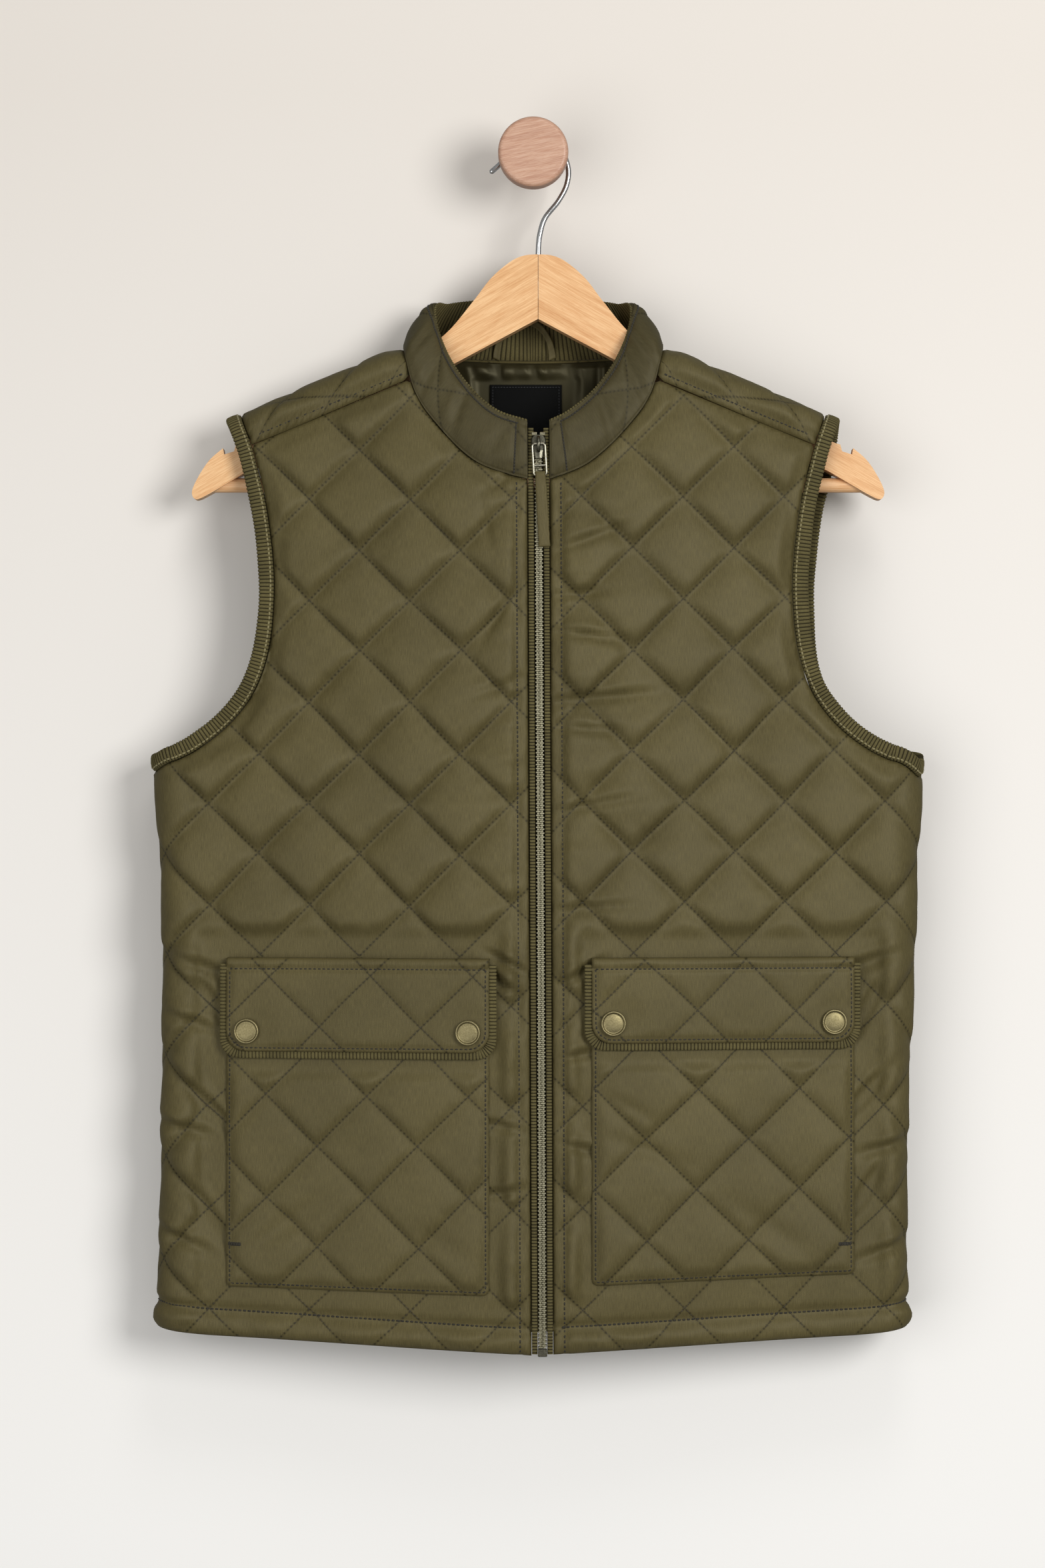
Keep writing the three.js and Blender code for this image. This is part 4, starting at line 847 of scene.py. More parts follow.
class Paint:
    """Builds one material's nodes."""

    def __init__(self, name, **settings):
        self.material = bpy.data.materials.new(name)
        self.material.use_nodes = True
        self.tree = self.material.node_tree
        self.tree.nodes.clear()
        self.surface = self.node("ShaderNodeBsdfPrincipled")
        output = self.node("ShaderNodeOutputMaterial")
        self.tree.links.new(self.surface.outputs[0], output.inputs[0])
        for key, value in settings.items():
            self.surface.inputs[key.replace("_", " ")].default_value = value

    def node(self, kind, **settings):
        made = self.tree.nodes.new(kind)
        for key, value in settings.items():
            setattr(made, key, value)
        return made

    def link(self, source, target):
        self.tree.links.new(source, target)
        return self

    def place(self, attribute=None, scale=(1, 1, 1), turn=0.0):
        """Coordinates from a mesh attribute, or the object's own in millimetres."""
        if attribute:
            source = self.node("ShaderNodeAttribute", attribute_name=attribute).outputs["Vector"]
        else:
            source = self.node("ShaderNodeTexCoord").outputs["Object"]
            scale = tuple(s / MM for s in scale)
        mapping = self.node("ShaderNodeMapping")
        mapping.inputs["Scale"].default_value = scale
        mapping.inputs["Rotation"].default_value = (0, 0, math.radians(turn))
        self.link(source, mapping.inputs["Vector"])
        return mapping.outputs["Vector"]

    def noise(self, vector, detail=2.0, rough=0.5):
        texture = self.node("ShaderNodeTexNoise")
        texture.inputs["Scale"].default_value = 1.0
        texture.inputs["Detail"].default_value = detail
        texture.inputs["Roughness"].default_value = rough
        self.link(vector, texture.inputs["Vector"])
        return texture.outputs["Fac"]

    def wave(self, vector, direction="X"):
        texture = self.node("ShaderNodeTexWave", bands_direction=direction)
        texture.inputs["Scale"].default_value = 0.314
        self.link(vector, texture.inputs["Vector"])
        return texture.outputs["Fac"]

    def math(self, operation, first, second=0.5, third=0.0):
        made = self.node("ShaderNodeMath", operation=operation)
        for socket, value in zip(made.inputs, (first, second, third)):
            if hasattr(value, "is_output"):
                self.link(value, socket)
            else:
                socket.default_value = value
        return made.outputs[0]

    def ramp(self, factor, *stops):
        """A colour for each share: stops are (share, sRGB colour of 0 to 255)."""
        made = self.node("ShaderNodeValToRGB")
        elements = made.color_ramp.elements
        while len(elements) < len(stops):
            elements.new(0.5)
        for element, (share, colour) in zip(elements, stops):
            element.position = share
            element.color = linear(colour)
        self.link(factor, made.inputs[0])
        return made.outputs[0]

    def blend(self, factor, first, second, kind="MIX"):
        made = self.node("ShaderNodeMix", data_type="RGBA", blend_type=kind)
        for socket, value in zip((made.inputs[0], made.inputs[6], made.inputs[7]),
                                 (factor, first, second)):
            if hasattr(value, "is_output"):
                self.link(value, socket)
            else:
                socket.default_value = value
        return made.outputs[2]

    def dim(self, base, factor, start, dark, end, full=1.0):
        """The base colour, multiplied by a dark one at the factor's start and not at its end."""
        tone = self.ramp(factor, (start, dark), (end, WHITE))
        return self.blend(full, base, tone, "MULTIPLY")

    def colour(self, source):
        return self.link(source, self.surface.inputs["Base Color"])

    def roughness(self, factor, low, high):
        made = self.node("ShaderNodeMapRange")
        made.inputs["To Min"].default_value = low
        made.inputs["To Max"].default_value = high
        self.link(factor, made.inputs["Value"])
        return self.link(made.outputs[0], self.surface.inputs["Roughness"])

    def bump(self, height, distance, strength=1.0):
        """Adds relief of this many millimetres over what is there."""
        made = self.node("ShaderNodeBump")
        made.inputs["Strength"].default_value = strength
        made.inputs["Distance"].default_value = distance * MM
        self.link(height, made.inputs["Height"])
        normal = self.surface.inputs["Normal"]
        if normal.is_linked:
            self.link(normal.links[0].from_socket, made.inputs["Normal"])
        return self.link(made.outputs[0], normal)


def linear(colour):
    """An sRGB colour of 0 to 255 as Blender's linear colour."""
    share = np.array(colour, float) / 255
    value = np.where(share <= 0.04045, share / 12.92, ((share + 0.055) / 1.055) ** 2.4)
    return (*value.tolist(), 1.0)


OLIVE = ((81, 73, 44), (102, 93, 59))
# Painted shade along the quilting's sewn lines: its half width in millimetres, and its darkness
PAINTED_LINE_SHADE = {"half": 1.15, "dark": 0.95}


def shell_cloth(name, quilted=True, shade=1.0):
    """Olive cotton satin with fine upright streaks, and painted shade along the sewn lines, darkest in
    the needle holes.
    """
    paint = Paint(name, Specular_IOR_Level=0.35, Specular_Tint=linear((242, 236, 212)),
                  Sheen_Weight=0.05, Sheen_Roughness=0.4, Sheen_Tint=linear((180, 170, 110)))
    streaks = paint.noise(paint.place("flat", (2.2, 0.16, 1)), 3, 0.6)
    grain = paint.noise(paint.place("flat", (2.6, 2.0, 1)), 2, 0.7)
    broad = paint.noise(paint.place("flat", (0.018, 0.014, 1)), 3, 0.55)
    twill = paint.wave(paint.place("flat", (20, 20, 20), turn=62))
    # A shade under 1 darkens this whole copy of the cloth as painted shade
    low, high = (tuple(c * shade for c in colour) for colour in OLIVE)
    base = paint.ramp(streaks, (0.3, low), (0.7, high))
    base = paint.dim(base, broad, 0.35, (238, 238, 238), 0.65)
    base = paint.dim(base, grain, 0.3, (218, 218, 218), 0.7, full=0.8)
    if quilted:
        # Painted shade in the sewn lines' valleys and needle holes, in a near black olive
        base = paint.blend(painted_needle_line_shade(paint), base, linear((26, 23, 12)))
    paint.colour(base)
    paint.roughness(streaks, 0.46, 0.6)
    paint.bump(streaks, 0.07, 0.8)
    paint.bump(grain, 0.06, 0.7)
    paint.bump(twill, 0.02, 0.5)
    return paint.material


def painted_needle_line_shade(paint):
    """How much painted shade lies on the sewn lines of the lattice: a thin dark line in the pinched
    valley, darkest in the needle holes.
    """
    lattice = paint.node("ShaderNodeAttribute", attribute_name="quilt")
    parts = paint.node("ShaderNodeSeparateXYZ")
    paint.link(lattice.outputs["Vector"], parts.inputs[0])
    marks = []
    for across, along in ((0, 1), (1, 0)):
        half_on = paint.math("ADD", parts.outputs[across], 0.5)
        share = paint.math("SUBTRACT", paint.math("FRACT", half_on), 0.5)
        gap = paint.math("MULTIPLY", paint.math("ABSOLUTE", share), QUILT_LINE_GAP)
        fade = paint.math("SUBTRACT", 1.0, paint.math("MULTIPLY", gap, 1 / PAINTED_LINE_SHADE["half"]))
        near = paint.math("SMOOTH_MAX", fade, 0.0, 0.05)
        stitches = QUILT_LINE_GAP / QUILT_STITCH["pitch"]
        hole = paint.math("PINGPONG", paint.math("MULTIPLY", parts.outputs[along], stitches), 0.5)
        hole = paint.math("MULTIPLY_ADD", hole, -2.6, 1.15)
        hole = paint.math("MAXIMUM", paint.math("MINIMUM", hole, 1.0), 0.3)
        marks.append(paint.math("MULTIPLY", near, hole))
    return paint.math("MULTIPLY", paint.math("MAXIMUM", *marks), PAINTED_LINE_SHADE["dark"])


def corduroy(name):
    """Ribbed olive cloth with a short soft nap, and painted shade in the narrow valleys between its
    ribs.
    """
    paint = Paint(name, Roughness=0.85, Specular_IOR_Level=0.2, Sheen_Weight=0.15,
                  Sheen_Roughness=0.4, Sheen_Tint=linear((170, 160, 105)))
    nap = paint.noise(paint.place(None, (2.4, 2.4, 2.4)), 4, 0.7)
    broad = paint.noise(paint.place(None, (0.05, 0.05, 0.05)), 2)
    base = paint.ramp(nap, (0.3, (80, 73, 44)), (0.72, (112, 104, 68)))
    wale = paint.node("ShaderNodeAttribute", attribute_name="wale").outputs["Fac"]
    # Painted shade: the valleys between the ribs, where the wale share is low, are darkened
    base = paint.dim(base, wale, 0.35, (120, 116, 104), 0.8)
    base = paint.dim(base, broad, 0.35, (225, 225, 225), 0.65)
    paint.colour(base)
    paint.bump(nap, 0.22, 0.8)
    return paint.material


def satin():
    paint = Paint("satin_lining", Roughness=0.4, Specular_IOR_Level=0.4,
                  Specular_Tint=linear((222, 214, 176)), Anisotropic=0.3)
    threads = paint.noise(paint.place("flat", (7, 0.3, 1)), 2)
    broad = paint.noise(paint.place("flat", (0.05, 0.03, 1)), 2)
    paint.colour(paint.ramp(broad, (0.35, (33, 30, 17)), (0.65, (46, 42, 25))))
    paint.roughness(threads, 0.36, 0.48)
    paint.bump(threads, 0.03, 0.6)
    return paint.material


def label_cloth():
    paint = Paint("label_cloth", Roughness=0.75, Specular_IOR_Level=0.15)
    across = paint.wave(paint.place("flat", (26, 26, 1)), direction="Y")
    fleck = paint.noise(paint.place("flat", (3, 9, 1)), 2, 0.6)
    paint.colour(paint.ramp(fleck, (0.3, (4, 5, 5)), (0.7, (11, 12, 12))))
    paint.bump(across, 0.05, 0.7)
    paint.bump(fleck, 0.05, 0.5)
    return paint.material


def thread(name, colour, light):
    paint = Paint(name, Roughness=0.55, Specular_IOR_Level=0.35, Sheen_Weight=0.2)
    strands = paint.noise(paint.place(None, (5, 5, 5)), 2)
    paint.colour(paint.ramp(strands, (0.3, colour), (0.7, light)))
    paint.bump(strands, 0.08, 0.8)
    return paint.material


def wood(name, dark, light, line, scale=1.0, turn=0):
    """Grain runs along the mapped X axis, turned about Y."""
    paint = Paint(name, Specular_IOR_Level=0.45, Coat_Weight=0.12, Coat_Roughness=0.3)
    source = paint.node("ShaderNodeTexCoord").outputs["Object"]
    mapping = paint.node("ShaderNodeMapping")
    mapping.inputs["Rotation"].default_value = (0, math.radians(turn), 0)
    paint.link(source, mapping.inputs["Vector"])

    def scaled(factors):
        made = paint.node("ShaderNodeVectorMath", operation="MULTIPLY")
        made.inputs[1].default_value = tuple(f / MM * scale for f in factors)
        paint.link(mapping.outputs[0], made.inputs[0])
        return made.outputs[0]

    broad = paint.noise(scaled((0.012, 0.14, 0.14)), 3, 0.55)
    fibre = paint.noise(scaled((0.05, 1.6, 1.6)), 3, 0.6)
    pores = paint.noise(scaled((0.22, 3.2, 3.2)), 2, 0.5)
    base = paint.ramp(broad, (0.3, dark), (0.5, light), (0.7, dark))
    base = paint.dim(base, fibre, 0.42, line, 0.56, full=0.55)
    base = paint.dim(base, pores, 0.3, line, 0.4, full=0.6)
    paint.colour(base)
    paint.roughness(fibre, 0.38, 0.52)
    paint.bump(fibre, 0.05, 0.5)
    paint.bump(pores, 0.04, 0.5)
    return paint.material


def metal(name, dark, light, rough, speckle=1.5, dirt=0.08):
    paint = Paint(name, Metallic=1.0)
    patina = paint.noise(paint.place(None, (speckle,) * 3), 4, 0.6)
    broad = paint.noise(paint.place(None, (0.25, 0.25, 0.25)), 2)
    paint.colour(paint.ramp(patina, (0.3, dark), (0.7, light)))
    paint.roughness(broad, rough, rough + 0.14)
    paint.bump(patina, dirt, 0.4)
    return paint.material


def backdrop_with_painted_shade(name, high, low):
    """Plaster with painted shade: a little darker higher up, as the light falls off towards the top. It
    is seen from its front alone, so that it never hides the object."""
    paint = Paint(name, Roughness=0.95, Specular_IOR_Level=0.1)
    spot = paint.node("ShaderNodeSeparateXYZ")
    paint.link(paint.node("ShaderNodeTexCoord").outputs["Object"], spot.inputs[0])
    # Painted shade: the colour darkens with height, from the low colour at the bottom to the high one
    # near the top
    height = paint.math("MULTIPLY_ADD", spot.outputs["Z"], 1.0, 0.9)
    fine = paint.noise(paint.place(None, (0.4, 0.4, 0.4)), 4, 0.6)
    paint.colour(paint.ramp(height, (0.0, low), (0.95, high)))
    paint.bump(fine, 0.12, 0.35)
    geometry = paint.node("ShaderNodeNewGeometry")
    clear = paint.node("ShaderNodeBsdfTransparent")
    pick = paint.node("ShaderNodeMixShader")
    paint.link(geometry.outputs["Backfacing"], pick.inputs[0])
    paint.link(paint.surface.outputs[0], pick.inputs[1])
    paint.link(clear.outputs[0], pick.inputs[2])
    output = next(n for n in paint.tree.nodes if n.type == "OUTPUT_MATERIAL")
    paint.link(pick.outputs[0], output.inputs[0])
    return paint.material


SHELL = shell_cloth("olive_shell")
PLAIN_SHELL = shell_cloth("olive_shell_plain", quilted=False)
# The collar's copy is darkened to 0.78 as painted shade, for a stand collar that tilts away from the
# light
PAINTED_SHADE_COLLAR_CLOTH = shell_cloth("olive_collar_painted_shade", shade=0.78)
CORD = corduroy("olive_corduroy")
SATIN = satin()
LABEL_CLOTH = label_cloth()
QUILT_THREAD = thread("quilting_thread", (40, 36, 20), (60, 54, 32))
# The topstitch thread is partly its own dark olive and partly painted shade of the pressed seam groove
# it lies in
TOPSTITCH_THREAD_AND_SEAM_SHADE = thread("topstitch_seam_shade_thread", (24, 21, 11), (40, 36, 20))
PALE_THREAD = thread("binding_thread", (112, 104, 70), (142, 134, 96))
BLACK_THREAD = thread("black_thread", (24, 25, 28), (48, 50, 54))
ARM_WOOD = {
    "left": wood("beech_left", (222, 174, 122), (238, 196, 146), (232, 206, 178), turn=30),
    "right": wood("beech_right", (220, 170, 118), (236, 192, 142), (232, 206, 178), turn=-30),
}
BAR_WOOD = wood("beech_bar", (220, 172, 124), (234, 192, 146), (232, 206, 178))
KNOB_WOOD = wood("knob_beech", (184, 142, 120), (205, 168, 145), (222, 194, 176), 1.3, 12)
STEEL = metal("hook_chrome", (196, 198, 200), (224, 226, 228), 0.12, 0.6, 0.02)
BRASS = metal("antique_brass", (118, 109, 78), (150, 141, 106), 0.42, 1.2, 0.05)
DARK_METAL = metal("zip_metal", (74, 72, 62), (120, 118, 104), 0.26, 1.6, 0.05)
TOOTH_METAL = metal("zip_teeth", (128, 124, 102), (188, 184, 158), 0.3, 1.2, 0.04)
PULL_METAL = metal("pull_wire", (142, 138, 122), (190, 187, 170), 0.24, 1.2, 0.03)
STOP_METAL = metal("zip_stops", (122, 117, 96), (160, 155, 132), 0.3)


# Stage


def add_stage():
    camera = bpy.data.objects.new("camera", bpy.data.cameras.new("camera"))
    camera.data.lens = CAMERA["lens"]
    camera.data.sensor_width = CAMERA["sensor"]
    camera.data.clip_end = 100
    camera.location = [CAMERA[key] * MM for key in "xyz"]
    camera.rotation_euler = (math.pi / 2, 0, 0)
    bpy.context.scene.collection.objects.link(camera)
    bpy.context.scene.camera = camera
    bpy.context.scene.view_settings.view_transform = "Standard"
    # The wall's two colours carry painted shade, darker at the top than at the bottom
    wall_with_painted_shade = backdrop_with_painted_shade("wall_with_painted_shade", (224, 219, 213), (247, 247, 246))
    floor_paint = backdrop_with_painted_shade("floor_paint", (232, 229, 225), (236, 233, 229))
    half, floor_z = 4000, -1500
    wall = [(-half, 0, floor_z), (half, 0, floor_z), (half, 0, half), (-half, 0, half)]
    floor = [(-half, -half, floor_z), (half, -half, floor_z), (half, 0, floor_z), (-half, 0, floor_z)]
    for name, points, paint in (("wall", wall, wall_with_painted_shade), ("floor", floor, floor_paint)):
        obj = add_mesh(name, np.array(points, float), [(0, 1, 2, 3)], paint, smooth=False)
        obj.visible_diffuse = obj.visible_glossy = obj.visible_shadow = False
    world = bpy.data.worlds.new("studio")
    bpy.context.scene.world = world
    world.use_nodes = True
    background = world.node_tree.nodes["Background"]
    background.inputs["Color"].default_value = linear((238, 236, 232))
    background.inputs["Strength"].default_value = WORLD_LIGHT
    for name, spot, size, power, colour in LAMPS:
        light = bpy.data.lights.new(name, "AREA")
        light.shape = "DISK"
        light.size = size * MM
        light.energy = power
        light.color = colour
        obj = bpy.data.objects.new(name, light)
        obj.location = Vector(spot) * MM
        aim = Vector(LAMP_AIM) * MM - obj.location
        obj.rotation_euler = aim.to_track_quat("-Z", "Y").to_euler()
        bpy.context.scene.collection.objects.link(obj)


WORLD_LIGHT = 0.3
LAMP_AIM = (0, -40, -430)
# Each lamp's name, place, size, power in watts and colour
LAMPS = [
    ("key_light", (1350, -2250, 120), 1200, 42, (1.0, 0.985, 0.96)),
    ("fill_light", (-1250, -2300, -650), 2300, 24.5, (1.0, 0.985, 0.965)),
    ("top_light", (250, -1250, 1300), 800, 6, (1.0, 0.985, 0.96)),
]


# Body panels

# Creases pressed into each front: x, z, direction in degrees, length, width, depth
CREASES = {
    "left": [
        (-7, -205, 88, 22, 1.6, 1.6),
        (-20, -212, 35, 26, 2.5, 1.0),
        (-30, -238, 100, 30, 3, 1.1),
        (-24, -300, 60, 34, 3, 1.2),
        (-22, -345, 20, 30, 3, 1.0),
        (-196, -345, 60, 46, 4, 2.2),
        (-176, -332, 75, 40, 3.5, 1.6),
        (-214, -524, 160, 36, 4, 1.6),
        (-207, -546, 122, 34, 4, 3.4),
        (-220, -560, 160, 30, 3, 1.4),
        (-208, -615, 132, 38, 4, 3.4),
        (-226, -628, 165, 34, 3.5, 1.6),
        (-208, -684, 119, 36, 4, 3.4),
        (-226, -700, 155, 34, 3.5, 1.6),
        (-17, -521, 151, 26, 2.6, 2.0),
        (-20, -534, 143, 24, 2.6, 2.0),
        (-20, -626, 165, 22, 2.6, 1.6),
        (-19, -668, 12, 22, 2.6, 1.4),
    ],
    "right": [
        (36, -250, 20, 40, 3, 1.3),
        (30, -285, 5, 34, 3, 1.3),
        (34, -312, 172, 40, 3, 1.5),
        (40, -352, 6, 56, 3.5, 1.6),
        (34, -372, 175, 36, 3, 1.2),
        (38, -420, 10, 44, 3, 1.2),
        (36, -486, 4, 40, 3, 1.2),
        (214, -522, 20, 36, 4, 1.6),
        (213, -552, 62, 34, 4, 2.8),
        (213, -606, 50, 36, 4, 2.8),
        (228, -640, 15, 34, 3.5, 1.6),
        (213, -668, 60, 34, 4, 2.8),
        (228, -706, 20, 34, 3.5, 1.6),
        (30, -528, 30, 24, 2.6, 1.8),
        (31, -580, 12, 22, 2.6, 1.6),
        (31, -640, 165, 22, 2.6, 1.6),
    ],
}
# Each crease is this deep in its own depths, with a low ridge a little above it
CREASE = {"deep": 2.8, "ridge_up": 6.5}
HEM_STITCH = 17
HEM_ROW = {"side_z": -745, "inset": 3}
ZIP_ROW = {"top_z": -213, "bottom_z": -772}
SHOULDER_ROW = {"inner": 84, "outer": 184}
ZIP_STITCH = 7.3
SHOULDER_STITCH = 5
WALL = 3.0
LEAST_WALL = 1.2
CALM = {"share": 0.55, "from_x": 222, "over": 24}
PRESS = {"share": 0.86, "past": 14, "fade": 10, "low_z": -765, "high_z": -506, "fade_z": 12}
HIDDEN = {"low_z": -736, "high_z": -517}


def edge_round(edge, reach, drop):
    """How much a turned edge falls away near the outline."""
    share = np.clip(1 - edge / reach, 0, 1)
    return drop * (1 - np.sqrt(np.maximum(1 - share**2, 0)))


def pressed_by_pocket(a, b):
    """1 where a pocket lies on the front and flattens its wadding, 0 away from the pocket."""
    from_line = np.abs(a - POCKET_LINE_X)
    inner = ease((from_line - POCKET["inner"] + PRESS["past"]) / PRESS["fade"])
    outer = 1 - ease((from_line - POCKET["outer"] - PRESS["past"]) / PRESS["fade"])
    foot = ease((b - PRESS["low_z"]) / PRESS["fade_z"])
    return inner * outer * foot * (1 - ease((b - PRESS["high_z"]) / PRESS["fade_z"]))


def side_calm(a):
    """The wadding's share where the cloth turns round the sides, so that they hang straight."""
    return 1 - CALM["share"] * ease((np.abs(a) - CALM["from_x"]) / CALM["over"])


def line_calm(gap):
    """The wadding's share beside a row of topstitches, which hold it flat."""
    return 1 - np.exp(-np.abs(gap) / 6)


def hem_swell(a, hem_gap):
    """The rise of the turned hem between its edge and its stitches, with drag lines along it."""
    drag = noise(a / 9 + hem_gap / 14, hem_gap / 30, 37)
    return (1.0 + 0.7 * drag) * ease(hem_gap / 6) * ease((HEM_STITCH - 2 - hem_gap) / 6)


def zip_drag(side, a, b, zip_gap):
    """Short drag lines across the cloth beside the zip."""
    drag = noise(b / 7.5, a / 60, 31 + side) + 0.6 * noise(b / 16, a / 80, 33 + side)
    return 1.6 * drag * np.exp(-zip_gap / 20) * ease((zip_gap - 2) / 6)


def front_height(name, side, a, b, outline):
    edge = line_distance(np.stack([a, b], 1), outline, closed=True)
    zip_gap = side * (a - zip_x(b)) - ZIP["gap_half"]
    hem_gap = b - hem_z(FRONT_HEM, a)
    full = LATTICE[name]["rise"] * side_calm(a) * line_calm(hem_gap - HEM_STITCH)
    height = WALL + full * pillow(name, a, b, 11 + side) * ease(edge / EDGE_FADE)
    height -= (height - WALL) * PRESS["share"] * pressed_by_pocket(a, b)
    height += zip_drag(side, a, b, zip_gap)
    rows = CREASES["left" if side < 0 else "right"]
    height += relief(a, b - CREASE["ridge_up"], rows) - CREASE["deep"] * relief(a, b, rows)
    height -= groove(zip_gap - ZIP_STITCH, 1.9, 2.2)
    height -= groove(hem_gap - HEM_STITCH, 2.4, 3.0)
    height += hem_swell(a, hem_gap)
    height += 0.2 * noise(a / 9, b / 9, 41)
    return np.maximum(height, LEAST_WALL) - edge_round(edge, 2.6, 1.4)


def back_height(a, b, outline):
    spots = np.stack([a, b], 1)
    edge = line_distance(spots, outline, closed=True)
    hem_gap = b - hem_z(BACK_HEM, a)
    over_ridge = np.exp(-(((b - shoulder_roll(1, a)[3]) / 24) ** 2))
    swell = LATTICE["back"]["rise"] * (1 - 0.6 * over_ridge) * side_calm(a)
    swell = swell * line_calm(hem_gap - HEM_STITCH)
    height = WALL + swell * pillow("back", a, b, 21) * ease(edge / EDGE_FADE)
    height -= groove(hem_gap - HEM_STITCH, 2.4, 3.0)
    height -= groove(past_seam(spots, 0) - SHOULDER_STITCH, 1.4, 2.2)
    height += hem_swell(a, hem_gap)
    height += 0.2 * noise(a / 9, b / 9, 43)
    return np.maximum(height, LEAST_WALL) - edge_round(edge, 2.6, 1.4)


def quilt_lines(name, outline, margin, skip=None):
    """Stitch spots on the sewn lines of a piece: flat centres and flat directions."""
    p, q = lattice_place(name, *np.asarray(outline, float).T)
    spots, ahead = [], []
    step = QUILT_STITCH["pitch"] / QUILT_LINE_GAP
    for fixed, moving, first in ((p, q, True), (q, p, False)):
        along = np.arange(moving.min(), moving.max(), step)
        for k in range(math.ceil(fixed.min()), math.floor(fixed.max()) + 1):
            line = np.full_like(along, k)
            here, there = (
                np.stack(lattice_point(name, *((line, at) if first else (at, line))), 1)
                for at in (along, along + 0.01)
            )
            spots.append(here)
            ahead.append(there - here)
    spots, ahead = np.vstack(spots), np.vstack(ahead)
    keep = inside(spots, outline)
    spots, ahead = spots[keep], ahead[keep]
    keep = line_distance(spots, outline, closed=True) > margin
    if skip is not None:
        keep &= ~skip(spots)
    return spots[keep], unit(ahead[keep])


def row_along(line, pitch=STITCH["pitch"]):
    """Stitch spots and directions along a flat line."""
    dense = even_points(np.asarray(line, float), pitch / 2)
    return dense[1:-1:2], unit(dense[2::2] - dense[:-2:2])


def sew(name, groups, place, height, thread_paint, kind):
    """Stitches on a cloth: groups of flat spots and directions, at the cloth's height."""
    spots = np.vstack([g[0] for g in groups])
    ahead = np.vstack([g[1] for g in groups])
    lift = height(spots)
    low = place(*(spots - ahead * 0.5).T, lift)
    high = place(*(spots + ahead * 0.5).T, lift)
    normal = unit(place(*spots.T, lift + 1) - place(*spots.T, lift))
    points, faces = stitch_mesh((low + high) / 2, unit(high - low), normal, kind)
    return place_piece(add_mesh(name, points, faces, thread_paint))


def add_quilted(key, outline, pitch, place, heights, lines, rows, above=0.1):
    """A quilted piece, its quilting and its rows of topstitches a little above its surface."""
    obj = add_sheet(f"{key}_cloth", outline, pitch, place, heights, SHELL, key)
    place_piece(obj, key)

    def lift(spots):
        return heights(*spots.T)[0] + above

    quilting = sew(f"{key}_quilting", [lines], place, lift, QUILT_THREAD, QUILT_STITCH)
    top = sew(f"{key}_topstitch", rows, place, lift, TOPSTITCH_THREAD_AND_SEAM_SHADE, STITCH)
    return obj, [quilting, top]


def under_pocket(spots):
    """Where the front's quilting is hidden by a pocket and its flap, and isn't sewn."""
    from_line = np.abs(spots[:, 0] - POCKET_LINE_X)
    across = (from_line > POCKET["inner"] - 3) & (from_line < POCKET["outer"] + 3)
    return across & (spots[:, 1] < HIDDEN["high_z"]) & (spots[:, 1] > HIDDEN["low_z"])


def hem_row(hem, from_x, to_x, count):
    """The row of stitches that holds a turned hem."""
    line = hem_line(hem, from_x, to_x, count)
    line[:, 1] += HEM_STITCH
    return row_along(line)


def add_front(name, side):
    key = f"front_{name}"
    outline = front_outline(side)

    def heights(a, b):
        return front_height(key, side, a, b, outline), np.zeros_like(a)

    zip_row = zip_edge(side, np.linspace(ZIP_ROW["top_z"], ZIP_ROW["bottom_z"], 200))
    zip_row[:, 0] += side * ZIP_STITCH
    side_x = side_seam_a(side, HEM_ROW["side_z"]) - side * HEM_ROW["inset"]
    rows = [row_along(zip_row), hem_row(FRONT_HEM, zip_row[0, 0], side_x, 80)]
    lines = quilt_lines(key, outline, 9, under_pocket)
    return add_quilted(key, outline, 2.3, on_front, heights, lines, rows)


def add_back():
    outline = back_outline()

    def heights(a, b):
        return back_height(a, b, outline), np.zeros_like(a)

    left, right = (side_seam_a(side, HEM_ROW["side_z"]) - side * HEM_ROW["inset"] for side in (-1, 1))
    rows = [hem_row(BACK_HEM, left, right, 160)]
    for side in (-1, 1):
        x = side * np.linspace(SHOULDER_ROW["inner"], SHOULDER_ROW["outer"], 60)
        z = ridge_z(x) - RIDGE["forward"] + SHOULDER_STITCH
        line = np.stack([x, to_back(-1, x, z)], 1)
        line = line[inside(line, outline) & (line_distance(line, outline, True) > 3)]
        rows.append(row_along(line))
    lines = quilt_lines("back", outline, 9)
    return add_quilted("back", outline, 2.9, on_back, heights, lines, rows)


# Armhole bindings


def wales(along, pitch):
    """Each spot's share of a rib's height, 0 in the narrow valleys and 1 on the ribs."""
    return np.abs(np.sin(math.pi * along / pitch)) ** 0.6


def ribs(along, pitch, high):
    """Rounded corduroy ribs with narrow valleys, high millimetres tall."""
    return high * (wales(along, pitch) - 0.6)


def ring_frame(side):
    """Places round an armhole with their directions out, up and ahead, and the run to each."""
    line = armhole_line(side, 1200)
    along = run_length(back_surface(*line.T))
    total = along[-1]
    steps = np.linspace(0, total, round(total / RIB) * RIB_STEPS, endpoint=False)
    flat = np.stack([np.interp(steps, along, column) for column in line.T], 1)
    at = back_surface(*flat.T)
    normal = outward(back_surface, -1, *flat.T)
    ahead = unit(np.roll(at, -1, 0) - np.roll(at, 1, 0))
    out = unit(np.cross(ahead, normal)) * side
    return at, out, normal, ahead, steps, total


def binding_section():
    """The binding's section, rows of (out, up), flat below and rounded at its outer edge."""
    near, far = SEAM_GAP, SEAM_GAP + BINDING["wide"]
    thick, corner = BINDING["thick"], BINDING["corner"]
    shape = [(near, 0.2), (far - corner, 0)]
    shape += arc_points(far - corner, thick / 2, corner, -90, 90, 7, thick / 2)
    shape += [(mix(far, near, 0.55), thick + 0.15), (near + 2.2, thick - 0.1)]
    shape += [(near + 1.2, thick - 0.7), (near, thick - 1.3)]
    return np.array(shape)


